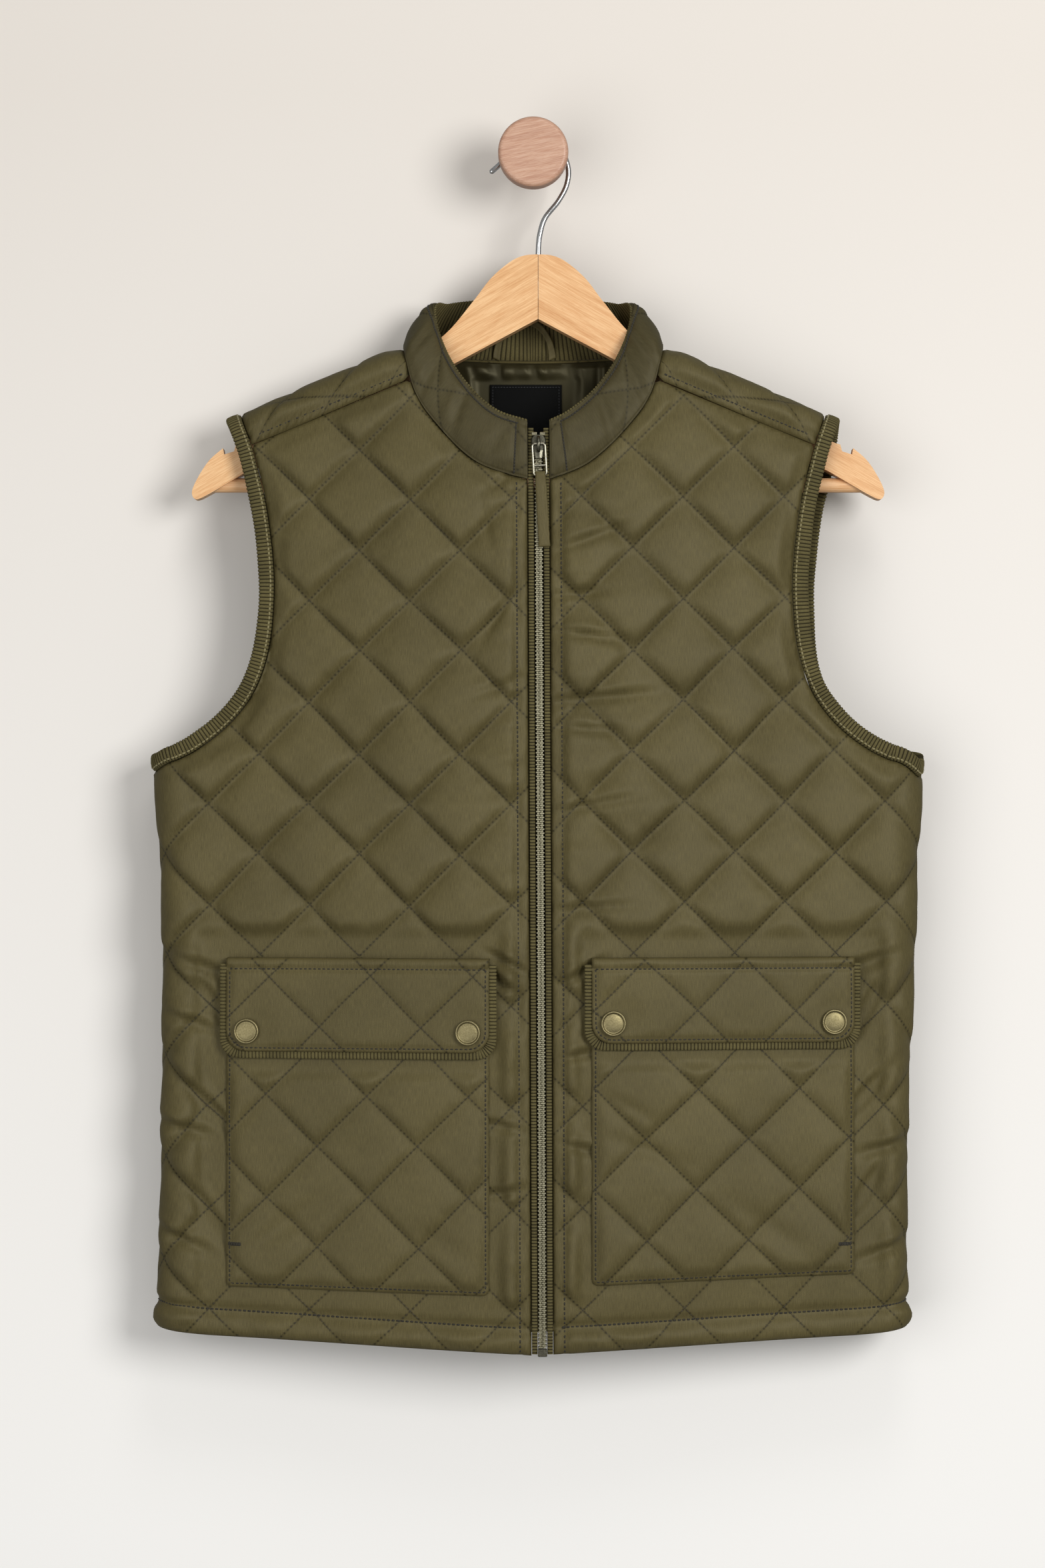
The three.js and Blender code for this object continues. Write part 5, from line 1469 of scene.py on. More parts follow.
def add_binding(name, side):
    """A ribbed strip round an armhole, with its row of stitches."""
    key = f"armhole_binding_{name}"
    at, out, normal, ahead, steps, total = ring_frame(side)
    base = at + normal * (BINDING["low"] - WALL_BACK)
    shape = binding_section()
    away = unit(shape - shape.mean(0))
    full = np.ones(len(shape))
    full[[0, -1, -2]] = 0.25
    pitch = total / round(total / RIB)
    rib = ribs(steps, pitch, 0.7)[:, None]
    section = shape[None] + away[None] * (full[None] * rib)[..., None]
    wobble = 0.35 * noise(steps / 23, 0 * steps, 51 + side)
    section[..., 0] += wobble[:, None] * (shape[:, 0] > SEAM_GAP + 3)
    points, faces = sweep(base, out, normal, section, True)
    wale = np.repeat(wales(steps, pitch), len(shape))
    obj = add_mesh(f"{key}_ribbed", points, faces, CORD, wale=wale)
    place_piece(obj, key)
    centre = base + out * (SEAM_GAP + 1.7) + normal * (BINDING["thick"] - 0.35)
    count = round(total / STITCH["pitch"])
    pick = np.linspace(0, len(centre), count, endpoint=False).astype(int)
    points, faces = stitch_mesh(centre[pick], ahead[pick], normal[pick], STITCH)
    sewn = add_mesh(f"{key}_stitches", points, faces, PALE_THREAD)
    return [obj, place_piece(sewn)]


# Collar


def collar_frame(count):
    """Seats, normals, ways up and tops round the collar, their normals, and the run to each."""
    halves = []
    for side in (-1, 1):
        foot = neck_line(side, count)
        rows = np.array(NECK_RING, float)
        tops = rows[:, 3:] * [side, 1, 1]
        tops[0, 0] = zip_x(rows[0, 5]) + side * ZIP["gap_half"]
        halves.append((foot, spline(tops, np.linspace(0, 1, count + 1), extend=True)))
    foot = np.vstack([halves[0][0], halves[1][0][::-1][1:]])
    top = np.vstack([halves[0][1], halves[1][1][::-1][1:]])
    seat = back_surface(*foot.T)
    seat_normal = outward(back_surface, -1, *foot.T)
    order = np.arange(len(foot))
    before, after = np.maximum(order - 1, 0), np.minimum(order + 1, len(foot) - 1)
    away = unit(np.cross(unit(seat[after] - seat[before]), seat_normal))
    rise = top - seat
    away *= np.sign((away * rise).sum())
    top_normal = unit(np.cross(unit(top[after] - top[before]), rise))
    from_centre = (top - [0, MID_Y, 0]) * [1, 1, 0]
    top_normal *= np.sign((top_normal * from_centre).sum())
    return seat, seat_normal, away, top, top_normal, run_length(top)


def collar_points(ring, v, h):
    """Collar points: v runs from the neck seam to the top edge, h off the inner face."""
    seat, seat_normal, away, top, top_normal = (column[:, None] for column in ring[:5])
    v, h = v[..., None], h[..., None]
    start = seat + away * COLLAR_SEAM_GAP
    normal = unit(mix(seat_normal, top_normal, ease(v * 1.6)))
    swell = COLLAR["bulge"] * 4 * v * (1 - v)
    return mix(start, top, v) + normal * (h - mix(WALL_BACK, COLLAR["top_back"], v) + swell)


# Creases in the collar: run from its middle, height share, length share, width, depth, lean
COLLAR_CREASES = [
    (-148, 0.5, 0.5, 3.5, 1.7, 8),
    (-96, 0.6, 0.5, 3.5, 1.8, 9),
    (-172, 0.35, 0.35, 3, 1.2, -9),
    (-120, 0.35, 0.4, 3.5, 1.3, 10),
    (150, 0.5, 0.5, 3.5, 1.6, -8),
    (98, 0.6, 0.5, 3.5, 1.8, -9),
    (174, 0.35, 0.35, 3, 1.2, 9),
    (122, 0.35, 0.4, 3.5, 1.3, -10),
]


def sheet_faces(rows, columns):
    """Faces of a closed sheet whose two sides are grids of rows by columns points."""
    shift = rows * columns
    faces = []

    def wall(start, end, turned):
        quad = (start, end, end + shift, start + shift)
        faces.append(quad[::-1] if turned else quad)

    for i in range(rows - 1):
        for j in range(columns - 1):
            at = i * columns + j
            quad = (at, at + columns, at + columns + 1, at + 1)
            faces.append(quad)
            faces.append(tuple(v + shift for v in quad[::-1]))
    for i in range(rows - 1):
        for j, turned in ((0, False), (columns - 1, True)):
            wall(i * columns + j, (i + 1) * columns + j, turned)
    for j in range(columns - 1):
        for i, turned in ((0, True), (rows - 1, False)):
            wall(i * columns + j, i * columns + j + 1, turned)
    return faces


def collar_height(run, up, share, end_gap):
    """The outer layer's height off the inner face, with its wadding, creases and grooves."""
    stand = COLLAR["stand"]
    edge = np.minimum(np.minimum(up, stand - up), end_gap)
    base = COLLAR["facing"] + TOUCH
    puff = pillow("collar", run.ravel(), up.ravel(), 61).reshape(run.shape)
    height = base + COLLAR["wall"] + LATTICE["collar"]["rise"] * puff * ease(edge / 9)
    for spot, at, long, wide, deep, lean in COLLAR_CREASES:
        off = run - spot - lean * (share - at)
        fade = ((share - at) / long) ** 2
        height -= deep * np.exp(-((off / wide) ** 2) - fade)
        height += 0.4 * deep * np.exp(-(((off - 1.9 * wide) / wide) ** 2) - fade)
    height -= groove(stand - up - COLLAR_STITCH, 0.9, 1.2) + groove(end_gap - ZIP_STITCH, 0.9, 1.3)
    height += 0.25 * noise(run / 8, up / 11, 63)
    floor = base + 0.9
    return floor + np.log1p(np.exp((height - floor) * 2)) / 2 - edge_round(edge, 2.2, 1.3)


def add_collar():
    ring = collar_frame(190)
    along = ring[5]
    v = np.linspace(0, 1, 30)
    run, share = np.meshgrid(along - along[len(along) // 2], v, indexing="ij")
    up = share * COLLAR["stand"]
    end_gap = np.minimum(along, along[-1] - along)[:, None] + 0 * share
    height = collar_height(run, up, share, end_gap)
    outer = collar_points(ring, share, height)
    inner = collar_points(ring, share, np.full_like(share, COLLAR["facing"] + TOUCH))
    points = np.vstack([outer.reshape(-1, 3), inner.reshape(-1, 3)])
    faces = outward_faces(points, sheet_faces(*share.shape))
    layers = flat_layers(run.ravel(), up.ravel(), "collar")
    obj = add_mesh("collar_cloth", points, faces, PAINTED_SHADE_COLLAR_CLOTH, *layers)
    place_piece(obj, "collar")
    return obj, [add_collar_stitches(ring, height, v), add_collar_facing()]


def add_collar_stitches(ring, height, v):
    """Rows of stitches along the top, and beside the zip at both ends."""
    along = ring[5]
    total = along[-1]
    top_v = 1 - COLLAR_STITCH / COLLAR["stand"]
    lines = [(np.linspace(6, total - 6, 900), np.full(900, top_v))]
    for run in (ZIP_STITCH, total - ZIP_STITCH):
        lines.append((np.full(60, run), np.linspace(0.03, top_v, 60)))
    parts = []
    for run, share in lines:
        index = np.interp(run, along, np.arange(len(along)))
        low = np.floor(index).astype(int).clip(0, len(along) - 2)
        t = (index - low)[:, None]
        sampled = [mix(column[low], column[low + 1], t) for column in ring[:5]]
        row = np.clip(np.round(share * (len(v) - 1)).astype(int), 0, len(v) - 1)
        lift = height[np.round(index).astype(int), row] + 0.15
        here, above = (
            collar_points(sampled, share[:, None], lift[:, None] + more)[:, 0] for more in (0, 1)
        )
        spots = even_points(np.hstack([here, above]), STITCH["pitch"] / 2)
        centre, normal = spots[1:-1:2, :3], unit(spots[1:-1:2, 3:] - spots[1:-1:2, :3])
        ahead = unit(spots[2::2, :3] - spots[:-2:2, :3])
        parts.append(stitch_mesh(centre, ahead, normal, STITCH))
    points, faces = joined(parts)
    return place_piece(add_mesh("collar_topstitch", points, faces, TOPSTITCH_THREAD_AND_SEAM_SHADE))


def add_collar_facing():
    """Ribbed facing with upright wales, which stands a little above the collar's edge."""
    ring = collar_frame(620)
    seat, top, along = ring[0], ring[3], ring[5]
    proud = COLLAR["proud"] / COLLAR["stand"] * np.array([0.35, 0.7, 0.92, 1.0])
    v = np.concatenate([np.linspace(0, 1, 9), 1 + proud])
    run, share = np.meshgrid(along, v, indexing="ij")
    wale = ribs(run, COLLAR_WALE, 0.42)
    over = np.clip((share - 1) / (v[-1] - 1), 0, 1)
    pinch = 0.62 * (1 - np.sqrt(1 - over**2 * 0.98))
    crumple = 0.5 * noise(run / 13, share * 2.2, 71) * ease(share * 3) * ease((1.02 - share) * 6)
    inner = collar_points(ring, share, -wale - 0.1 + pinch + crumple)
    outer = collar_points(ring, share, COLLAR["facing"] + 0.3 * wale * over - pinch)
    rise = ribs(run, COLLAR_WALE, 0.55) * over
    up = unit(top - seat)[:, None] * rise[..., None]
    points = np.vstack([(outer + up).reshape(-1, 3), (inner + up).reshape(-1, 3)])
    faces = outward_faces(points, sheet_faces(*share.shape))
    wale = np.tile(wales(run, COLLAR_WALE).ravel(), 2)
    obj = add_mesh("collar_facing_ribbed", points, faces, CORD, wale=wale)
    return place_piece(obj, "collar_facing")


# Pockets, flaps and snaps

# Creases pressed into each pocket: x, z, direction in degrees, length, width, depth
POCKET_CREASES = {
    "left": [
        (-160, -690, 35, 60, 7, 1.2),
        (-60, -700, 150, 50, 7, 0.8),
        (-120, -640, 10, 60, 8, 0.6),
    ],
    "right": [
        (150, -690, 145, 60, 7, 1.0),
        (70, -640, 160, 60, 6, 0.9),
        (60, -612, 150, 40, 4, 0.8),
    ],
}
POCKET_STITCH = 2.3
FLAP_TOP_STITCH = 6.9
TACK = {"z": -702, "inset": 6, "long": 9, "pitch": 1.6, "gap": 0.55}


def snap_spots(name, side):
    z = FLAP_EDGE[name][1] + SNAP["up"]
    inner = POCKET_LINE_X + side * (FLAP["inner"] + SNAP["inset"])
    outer = POCKET_LINE_X + side * (FLAP["outer"] - SNAP["inset"])
    return [("inner", inner, z), ("outer", outer, z)]


def add_pocket(name, side):
    key = f"pocket_{name}"
    outline = pocket_outline(name, side)
    flap_low = FLAP_EDGE[name][1] - FACING["proud"] - 7

    def heights(a, b):
        edge = line_distance(np.stack([a, b], 1), outline, closed=True)
        free = mix(0.12, 1, ease((flap_low - b) / 8))
        puff = LATTICE[key]["rise"] * pillow(key, a, b, 81 + side) * free
        rise = POCKET["under"] + POCKET["wall"] + puff * ease(edge / 10)
        rise -= groove(edge - POCKET_STITCH, 1.1, 1.5)
        rise -= 2 * relief(a, b, POCKET_CREASES[name]) * free
        rise += 0.5 * ease(edge / 20) * free
        rise = np.maximum(rise, POCKET["under"] + 0.9) - edge_round(edge, 1.6, 0.9)
        return rise, np.full_like(a, POCKET["under"])

    def under_flap(spots):
        return spots[:, 1] > flap_low + 8

    lines = quilt_lines(key, outline, 4, under_flap)
    tack_x = POCKET_LINE_X + side * (POCKET["outer"] - TACK["inset"])
    rows = [row_along(outline + inward(outline) * POCKET_STITCH), *bar_tack(tack_x, TACK["z"])]
    return add_quilted(key, outline, 1.9, on_front, heights, lines, rows, 0.08)


def bar_tack(x, z):
    """Close rows of stitches that hold a corner."""
    half = TACK["long"] / 2
    return [row_along([(x - half, z + shift), (x + half, z + shift)], TACK["pitch"])
            for shift in (-TACK["gap"], 0, TACK["gap"])]


def inward(line):
    """Flat directions into an open outline, whose ends a straight line joins."""
    ahead = unit(np.gradient(line, axis=0))
    turn = np.sign(np.cross(line[1] - line[0], line[-1] - line[0]))
    return np.stack([-ahead[:, 1], ahead[:, 0]], 1) * turn


def add_flap(name, side):
    key = f"flap_{name}"
    outline = flap_outline(name, side)
    top_z = FLAP_EDGE[name][0]
    snaps = snap_spots(name, side)

    def heights(a, b):
        edge = line_distance(np.stack([a, b], 1), outline, closed=True)
        away = np.ones_like(a)
        for _, x, z in snaps:
            away = np.minimum(away, ease((np.hypot(a - x, b - z) - 9) / 16))
        puff = LATTICE[key]["rise"] * pillow(key, a, b, 91 + side) * ease(edge / 9) * away
        rise = FLAP["under"] + FLAP["wall"] + puff
        below = top_z - b
        rise -= groove(below - FLAP_TOP_STITCH, 1.4, 1.6)
        rise += 0.5 * ease(below / 2) * ease((FLAP_TOP_STITCH - below) / 3)
        sides = np.where(below < FLAP_TOP_STITCH - 1, 9, edge)
        rise -= groove(sides - POCKET_STITCH, 1.0, 1.3)
        under = mix(FLAP["under"], FLAP["seam_under"], ease(1 - below / 6))
        return rise - edge_round(edge, 1.8, 1.1), under

    def under_snap(spots):
        return np.min([np.hypot(spots[:, 0] - x, spots[:, 1] - z) for _, x, z in snaps], 0) < 9

    stitch_z = top_z - FLAP_TOP_STITCH
    strip = [(outline[0, 0] + side * 2, stitch_z), (outline[-1, 0] - side * 2, stitch_z)]
    rim = outline + inward(outline) * POCKET_STITCH
    rim[[0, -1], 1] = stitch_z
    lines = quilt_lines(key, outline, 3, under_snap)
    rows = [row_along(strip), row_along(rim)]
    return add_quilted(key, outline, 1.5, on_front, heights, lines, rows, 0.08)


def add_flap_facing(name, side):
    """A ribbed facing under the flap: its rim is gathered ribs that stand proud of the flap."""
    dense = even_points(facing_outline(name, side), 0.45)
    into = inward(dense)
    along = run_length(dense)
    rib = ribs(along, FACING["rib"], 0.5)
    low, high = FACING["under"], FACING["under"] + FACING["wall"]
    shape = [(9, low), (1.0, low), (0.25, low + 0.25), (0, low + 0.7), (0.3, low + 1.15)]
    shape += [(1.2, high + 0.15), (3.2, high + 0.25), (4.4, high), (9, high)]
    columns = []
    for k, (inset, h) in enumerate(shape):
        full = 1.0 if 0 < k < len(shape) - 1 else 0.0
        spot = dense + into * (inset - (rib * full * (1 if inset < 1.1 else 0))[:, None])
        lift = h + rib * full * (0.7 if h > low + 0.9 else -0.3)
        columns.append(on_front(spot[:, 0], spot[:, 1], lift))
    border = lofted(np.stack(columns, 1))
    grid = cloth_grid(flap_outline(name, side, FACING["proud"] - 8, 5.0), 4.0)
    plate = cloth_solid(grid, on_front, high - 0.1, low + 0.1)
    wale = np.ones(len(border[0]) + len(plate[0]))
    wale[:len(border[0])] = np.repeat(wales(along, FACING["rib"]), len(shape))
    points, faces = joined([border, plate])
    obj = add_mesh(f"flap_facing_{name}_ribbed", points, faces, CORD, wale=wale)
    return place_piece(obj, f"flap_facing_{name}")


def lathe(profile, sides, at, axis, name, paint, sharp=40):
    """A turned shape: profile rows of (radius, height) round an axis."""
    axis = unit(np.asarray(axis, float))
    across = unit(np.cross(axis, [0.3, 0.2, 1.0]))
    other = np.cross(axis, across)
    angle = np.arange(sides) / sides * 2 * math.pi
    ring = across * np.cos(angle)[:, None] + other * np.sin(angle)[:, None]
    points, faces = lofted([np.asarray(at) + ring * max(r, 1e-3) + axis * h for r, h in profile])
    return add_mesh(name, points, faces, paint, sharp=sharp)


def add_snaps():
    radius = SNAP["radius"]
    profile = [(0, 0), (radius - 0.9, 0), (radius - 0.2, 0.4), (radius, 1.0)]
    profile += arc_points(radius - 0.75, 1.6, 0.75, 0, 180, 9, 0.8)
    profile += [(radius - 1.75, 1.35), (radius - 2.1, 1.2), (radius - 2.5, 1.3)]
    profile += [(radius - 3.0, 1.45), (radius * 0.35, 1.62), (0, 1.68)]
    for name, side in SIDES:
        for place, x, z in snap_spots(name, side):
            normal = outward(front_surface, 1, np.array(x), np.array(z, float))
            seat = on_front(x, z, FLAP["under"] + FLAP["wall"] + TOUCH + 0.25)
            obj = lathe(profile, 72, seat, normal, f"snap_{name}_{place}_cap", BRASS)
            place_piece(obj, f"snap_{name}_{place}")


# Zip


def add_tape(name, side):
    """A woven tape whose ribs slant like a herringbone."""
    left, right = sorted((side * TAPE["inner"], side * TAPE["outer"]))
    z = np.arange(TAPE["bottom_z"], TAPE["top_z"], 0.5)
    rib, late = (ribs(z + shift, TAPE["rib"], 0.45) for shift in (0, 0.7))
    low, high = TAPE["low"], TAPE["high"]
    columns = [
        (left, low, 0),
        (right, low, 0),
        (right, high - 0.4, rib),
        (mix(left, right, 0.92), high, rib),
        (mix(left, right, 0.5), high + 0.1, late),
        (mix(left, right, 0.08), high, rib),
        (left, high - 0.4, rib),
    ]
    rings = [on_front(zip_x(z) + x, z, h + lift) for x, h, lift in columns]
    points, faces = lofted(np.stack(rings, 1))
    wale = np.repeat(wales(z, TAPE["rib"]), len(columns))
    obj = add_mesh(f"zip_tape_{name}_woven", points, faces, CORD, wale=wale)
    return place_piece(obj, f"zip_tape_{name}")


def box_part(rows):
    """A closed part from stacked four-cornered sections of (left, right, low, high, z)."""
    rings = []
    for left, right, low, high, z in rows:
        x = zip_x(z)
        corners = [(x + left, low), (x + right, low), (x + right, high), (x + left, high)]
        rings.append([on_front(a, z, h) for a, h in corners])
    return lofted(rings)


def add_chain():
    """Metal teeth clamped on a cord, the two rows in step with each other."""
    low, high = CHAIN["low"], CHAIN["high"]
    z0, z1 = CHAIN["bottom_z"], CHAIN["top_z"] - 12
    parts = [box_part([(-1.9, 1.9, low, high - 1.2, z) for z in np.linspace(z0, z1, 60)])]
    for k in range(int((z1 - z0) / CHAIN["pitch"])):
        for side in (-1, 1):
            parts.append(tooth_part(z0 + CHAIN["pitch"] * (k + 0.5 + 0.25 * side), side))
    points, faces = joined(parts)
    obj = add_mesh("zip_chain_teeth", points, faces, TOOTH_METAL, sharp=30)
    return place_piece(obj, "zip_chain")


def tooth_part(z, side):
    """One tooth: a block with its outer face bevelled."""
    half, low, high = CHAIN["half"], CHAIN["low"] + 0.6, CHAIN["high"]
    foot = sorted((side * half, -side * 0.55))
    head = sorted((side * (half - 0.3), -side * 0.2))
    rings = []
    for share, h, (left, right) in ((1.0, low, foot), (1.0, high - 0.45, foot), (0.6, high, head)):
        reach = CHAIN["pitch"] * 0.25 * share
        corners = [(left, -reach), (right, -reach), (right, reach), (left, reach)]
        rings.append([on_front(zip_x(z) + a, z + dz, h) for a, dz in corners])
    return lofted(rings)


def slider_plate():
    """The slider's upper plate, widest near its top and drawn in to its foot."""
    low, high = SLIDER["low"], SLIDER["high"]
    rings = []
    for share, wide in SLIDER_WIDTHS:
        z = SLIDER["top_z"] - SLIDER["long"] * share
        x, reach = zip_x(z), SLIDER["half"] * wide
        half_shape = [(reach - 0.3, low), (reach, low + 0.5), (reach, high - 0.6), (reach - 0.7, high)]
        other_half = [(-a, h) for a, h in half_shape[::-1]]
        shape = [other_half[-1], *half_shape, (0, high + 0.25), *other_half[:-1]]
        rings.append([on_front(x + a, z, h) for a, h in shape])
    return lofted(rings)


def bail_arch():
    """The wire arch on the slider that the pull hangs on."""
    x, z = zip_x(BAIL["z"]), BAIL["z"]
    at = on_front(x, z, SLIDER["high"] - 0.4)
    normal = outward(front_surface, 1, np.array(x), np.array(z))
    down = unit(np.cross([1.0, 0, 0], normal))
    angle = np.linspace(0, math.pi, 25)[:, None]
    stations = at + down * BAIL["half"] * np.cos(angle) + normal * BAIL["rise"] * np.sin(angle)
    outs = down * np.cos(angle) + normal * np.sin(angle)
    ups = np.broadcast_to([1.0, 0, 0], outs.shape)
    return sweep(stations, outs, ups, circle(BAIL["wire"], 12) * [1, 1.25])


def add_slider():
    low_z, high_z = SLIDER["top_z"] - SLIDER["long"] + 1, SLIDER["top_z"] - 1
    wings = box_part([(-3.4, 3.4, 2.0, 4.8, z) for z in np.linspace(low_z, high_z, 5)])
    points, faces = joined([slider_plate(), wings, bail_arch()])
    obj = add_mesh("zip_slider_body", points, faces, DARK_METAL, sharp=35)
    place_piece(obj, "zip_slider")


def add_top_stops():
    stops = []
    for side in (-1, 1):
        z = CHAIN["top_z"] - 1
        a, b = sorted((side * 1.0, side * 4.2))
        end, full = (a + 0.3, b - 0.3, 1.6, 4.0), (a, b, 1.2, 4.6)
        stops.append(box_part([(*end, z - 2.8), (*full, z - 2.3), (*full, z - 0.5), (*end, z)]))
    points, faces = joined(stops)
    obj = add_mesh("zip_top_stops", points, faces, STOP_METAL, sharp=35)
    place_piece(obj)


def add_bottom_box():
    box = BOTTOM_BOX
    rows = []
    for z, inset in ((box["bottom_z"], 0.5), (box["bottom_z"] + 0.5, 0), (box["top_z"] - 0.5, 0),
                     (box["top_z"], 0.5)):
        rows.append((-box["half"] + inset, box["half"] - inset, box["low"] + inset,
                     box["high"] - inset, z))
    obj = add_mesh("zip_box_block", *box_part(rows), DARK_METAL, sharp=35)
    place_piece(obj, "zip_box")


def pull_frame():
    """Hinge point and the pull's right, front and down directions."""
    hinge = on_front(zip_x(BAIL["z"]), BAIL["z"], PULL_REST["lift"])
    foot_z = BAIL["z"] - TAB["bottom"]
    foot = on_front(zip_x(foot_z), foot_z, PULL_REST["foot"])
    down = unit((foot - hinge) * [0, 1, 1])
    lean = -math.radians(PULL_REST["lean"])
    down = np.array([down[0] * math.cos(lean) + down[2] * math.sin(lean), down[1],
                     down[2] * math.cos(lean) - down[0] * math.sin(lean)])
    front = -unit(np.cross([1.0, 0, 0], down))
    right = -unit(np.cross(down, front))
    return hinge, right, front, down


def add_pull():
    hinge, right, front, down = pull_frame()

    def place(points):
        points = np.asarray(points)
        return hinge + points[:, :1] * right + points[:, 1:2] * front + points[:, 2:] * down

    bend = PULL["bend"]
    path, outs = [], []
    for sx, sz, start in ((1, 1, 0), (-1, 1, 1), (-1, 0, 2), (1, 0, 3)):
        for angle in (start + np.linspace(0, 1, 7)) * math.pi / 2:
            c, s = math.cos(angle), math.sin(angle)
            z = (PULL["long"] - bend if sz else bend) + bend * s
            path.append((sx * (PULL["half"] - bend) + bend * c, 0, z))
            outs.append((c, 0, s))
    path, outs = np.array(path, float), np.array(outs, float)
    ups = np.broadcast_to([0.0, 1, 0], outs.shape)
    wire = circle(PULL["wire"], 12)
    loop = sweep(path, outs, ups, wire, True)
    ends = np.array([(x, 0, PULL["bar_at"]) for x in (-PULL["half"], PULL["half"])], float)
    bar = sweep(ends, np.array([(0.0, 0, 1)] * 2), ups[:2], wire)
    points, faces = joined([loop, bar])
    points = place(points)
    obj = add_mesh("zip_pull_wire", points, outward_faces(points, faces), PULL_METAL, sharp=50)
    place_piece(obj, "zip_pull_frame", "pull")
    add_tab(place)


def add_tab(place):
    """A folded cloth tab round the wire's foot, with one edge fold and a thinned end."""
    thick = TAB["thick"] / 2
    rows = TAB_FOLD + [(z, thick) for z in np.linspace(26, TAB["bottom"] - 1.2, 26)]
    rows += [(TAB["bottom"] - 0.4, thick * 0.8), (TAB["bottom"], thick * 0.35)]
    x = np.linspace(-1, 1, 13)
    rings = []
    for z, deep in rows:
        wide = TAB["half"] * (0.93 if z < 24 else 1.0) + 0.12 * math.sin(z * 0.9)
        fold = 0.3 * np.exp(-(((x - 0.45) / 0.12) ** 2)) * (z > 24)
        skin = deep * (1 - 0.55 * np.abs(x) ** 5)
        top = np.stack([x * wide, skin - fold, 0 * x + z], 1)
        under = np.stack([x * wide, -skin, 0 * x + z], 1)[::-1]
        rings.append(np.vstack([top, under]))
    spots = np.vstack(rings)
    points, faces = lofted(place(spots).reshape(len(rings), -1, 3))
    flat = np.stack([spots[:, 0], spots[:, 2], 0 * spots[:, 0]], 1)
    obj = add_mesh("zip_pull_tab_cloth", points, faces, PLAIN_SHELL, flat)
    place_piece(obj, "zip_pull_tab", "pull")


# Inside of the neck


def lining_outline():
    half, bottom = LINING["half"], LINING["bottom_z"]
    rows = np.array(NECK_RING, float)[4:][::-1]
    top = spline(rows[:, 1:3], np.linspace(0, 1, 60))
    right = top[top[:, 0] < half] - [0, LINING["top"]]
    left = right * [-1, 1]
    edge = np.vstack([[(half, right[-1, 1])], right[::-1], left[1:], [(-half, left[-1, 1])]])
    outline = np.vstack([[(-half, bottom), (half, bottom)], edge])
    outline[:, 1] = to_back(1, outline[:, 0], outline[:, 1])
    return outline


def add_lining():
    """Satin that hangs in gathers from the neck and lies flat round the label."""
    outline = lining_outline()
    skin = LINING["skin"]

    def heights(a, b):
        below = LINING["gather_z"] - b
        label = ease((LABEL["left"] - 7 - a) / 7) + ease((a - LABEL["right"] - 7) / 7)
        label = np.clip(label + ease((b - LABEL["top_z"] - 2) / 6), 0, 1)
        drift = a + 6 * noise(b / 30, a / 60, 102) + 0.12 * below * np.sign(a + 20)
        fold = 0.8 * noise(drift / 3.4, b / 60, 101) + 0.9 * noise(drift / 8, b / 45, 103)
        gather = mix(0.5, 1, np.exp(-below / 60))
        inner = skin - (2.0 + 1.9 * fold) * label * gather * ease((below - 4) / 8)
        edge = line_distance(np.stack([a, b], 1), outline, closed=True)
        inner = mix(skin, np.minimum(inner, skin), ease(edge / 4))
        return inner + LINING["wall"], inner

    obj = add_sheet("back_lining_satin", outline, 1.3, on_back, heights, SATIN)
    return place_piece(obj, "back_lining")


def add_label():
    left, right, top, bottom = (LABEL[k] for k in ("left", "right", "top_z", "bottom_z"))
    outline = np.array([(left, bottom), (right, bottom), (right, top), (left, top)], float)

    def heights(a, b):
        edge = line_distance(np.stack([a, b], 1), outline, closed=True)
        swell = 0.25 * np.sin((a - left) / (right - left) * math.pi)
        face = -1.95 - (0.35 * noise(a / 14, b / 20, 111) + swell) - LABEL["wall"]
        face += groove(edge - LABEL["inset"], 0.25, 0.7) + edge_round(edge, 1.0, 0.3)
        return face + LABEL["wall"], face

    obj = add_sheet("neck_label_woven", outline, 1.0, on_back, heights, LABEL_CLOTH)
    place_piece(obj, "neck_label")
    corners = outline + np.array([(1, 1), (-1, 1), (-1, -1), (1, -1)]) * LABEL["inset"]
    spots, ahead = row_along(np.vstack([corners, corners[:1]]), LABEL_STITCH["pitch"])
    centre = on_back(*spots.T, -3.0)
    normal = unit(on_back(*spots.T, -4.0) - centre)
    along = unit(on_back(*(spots + ahead).T, -3.0) - centre)
    points, faces = stitch_mesh(centre, along, normal, LABEL_STITCH)
    sewn = place_piece(add_mesh("neck_label_stitches", points, faces, BLACK_THREAD))
    return obj, [sewn]


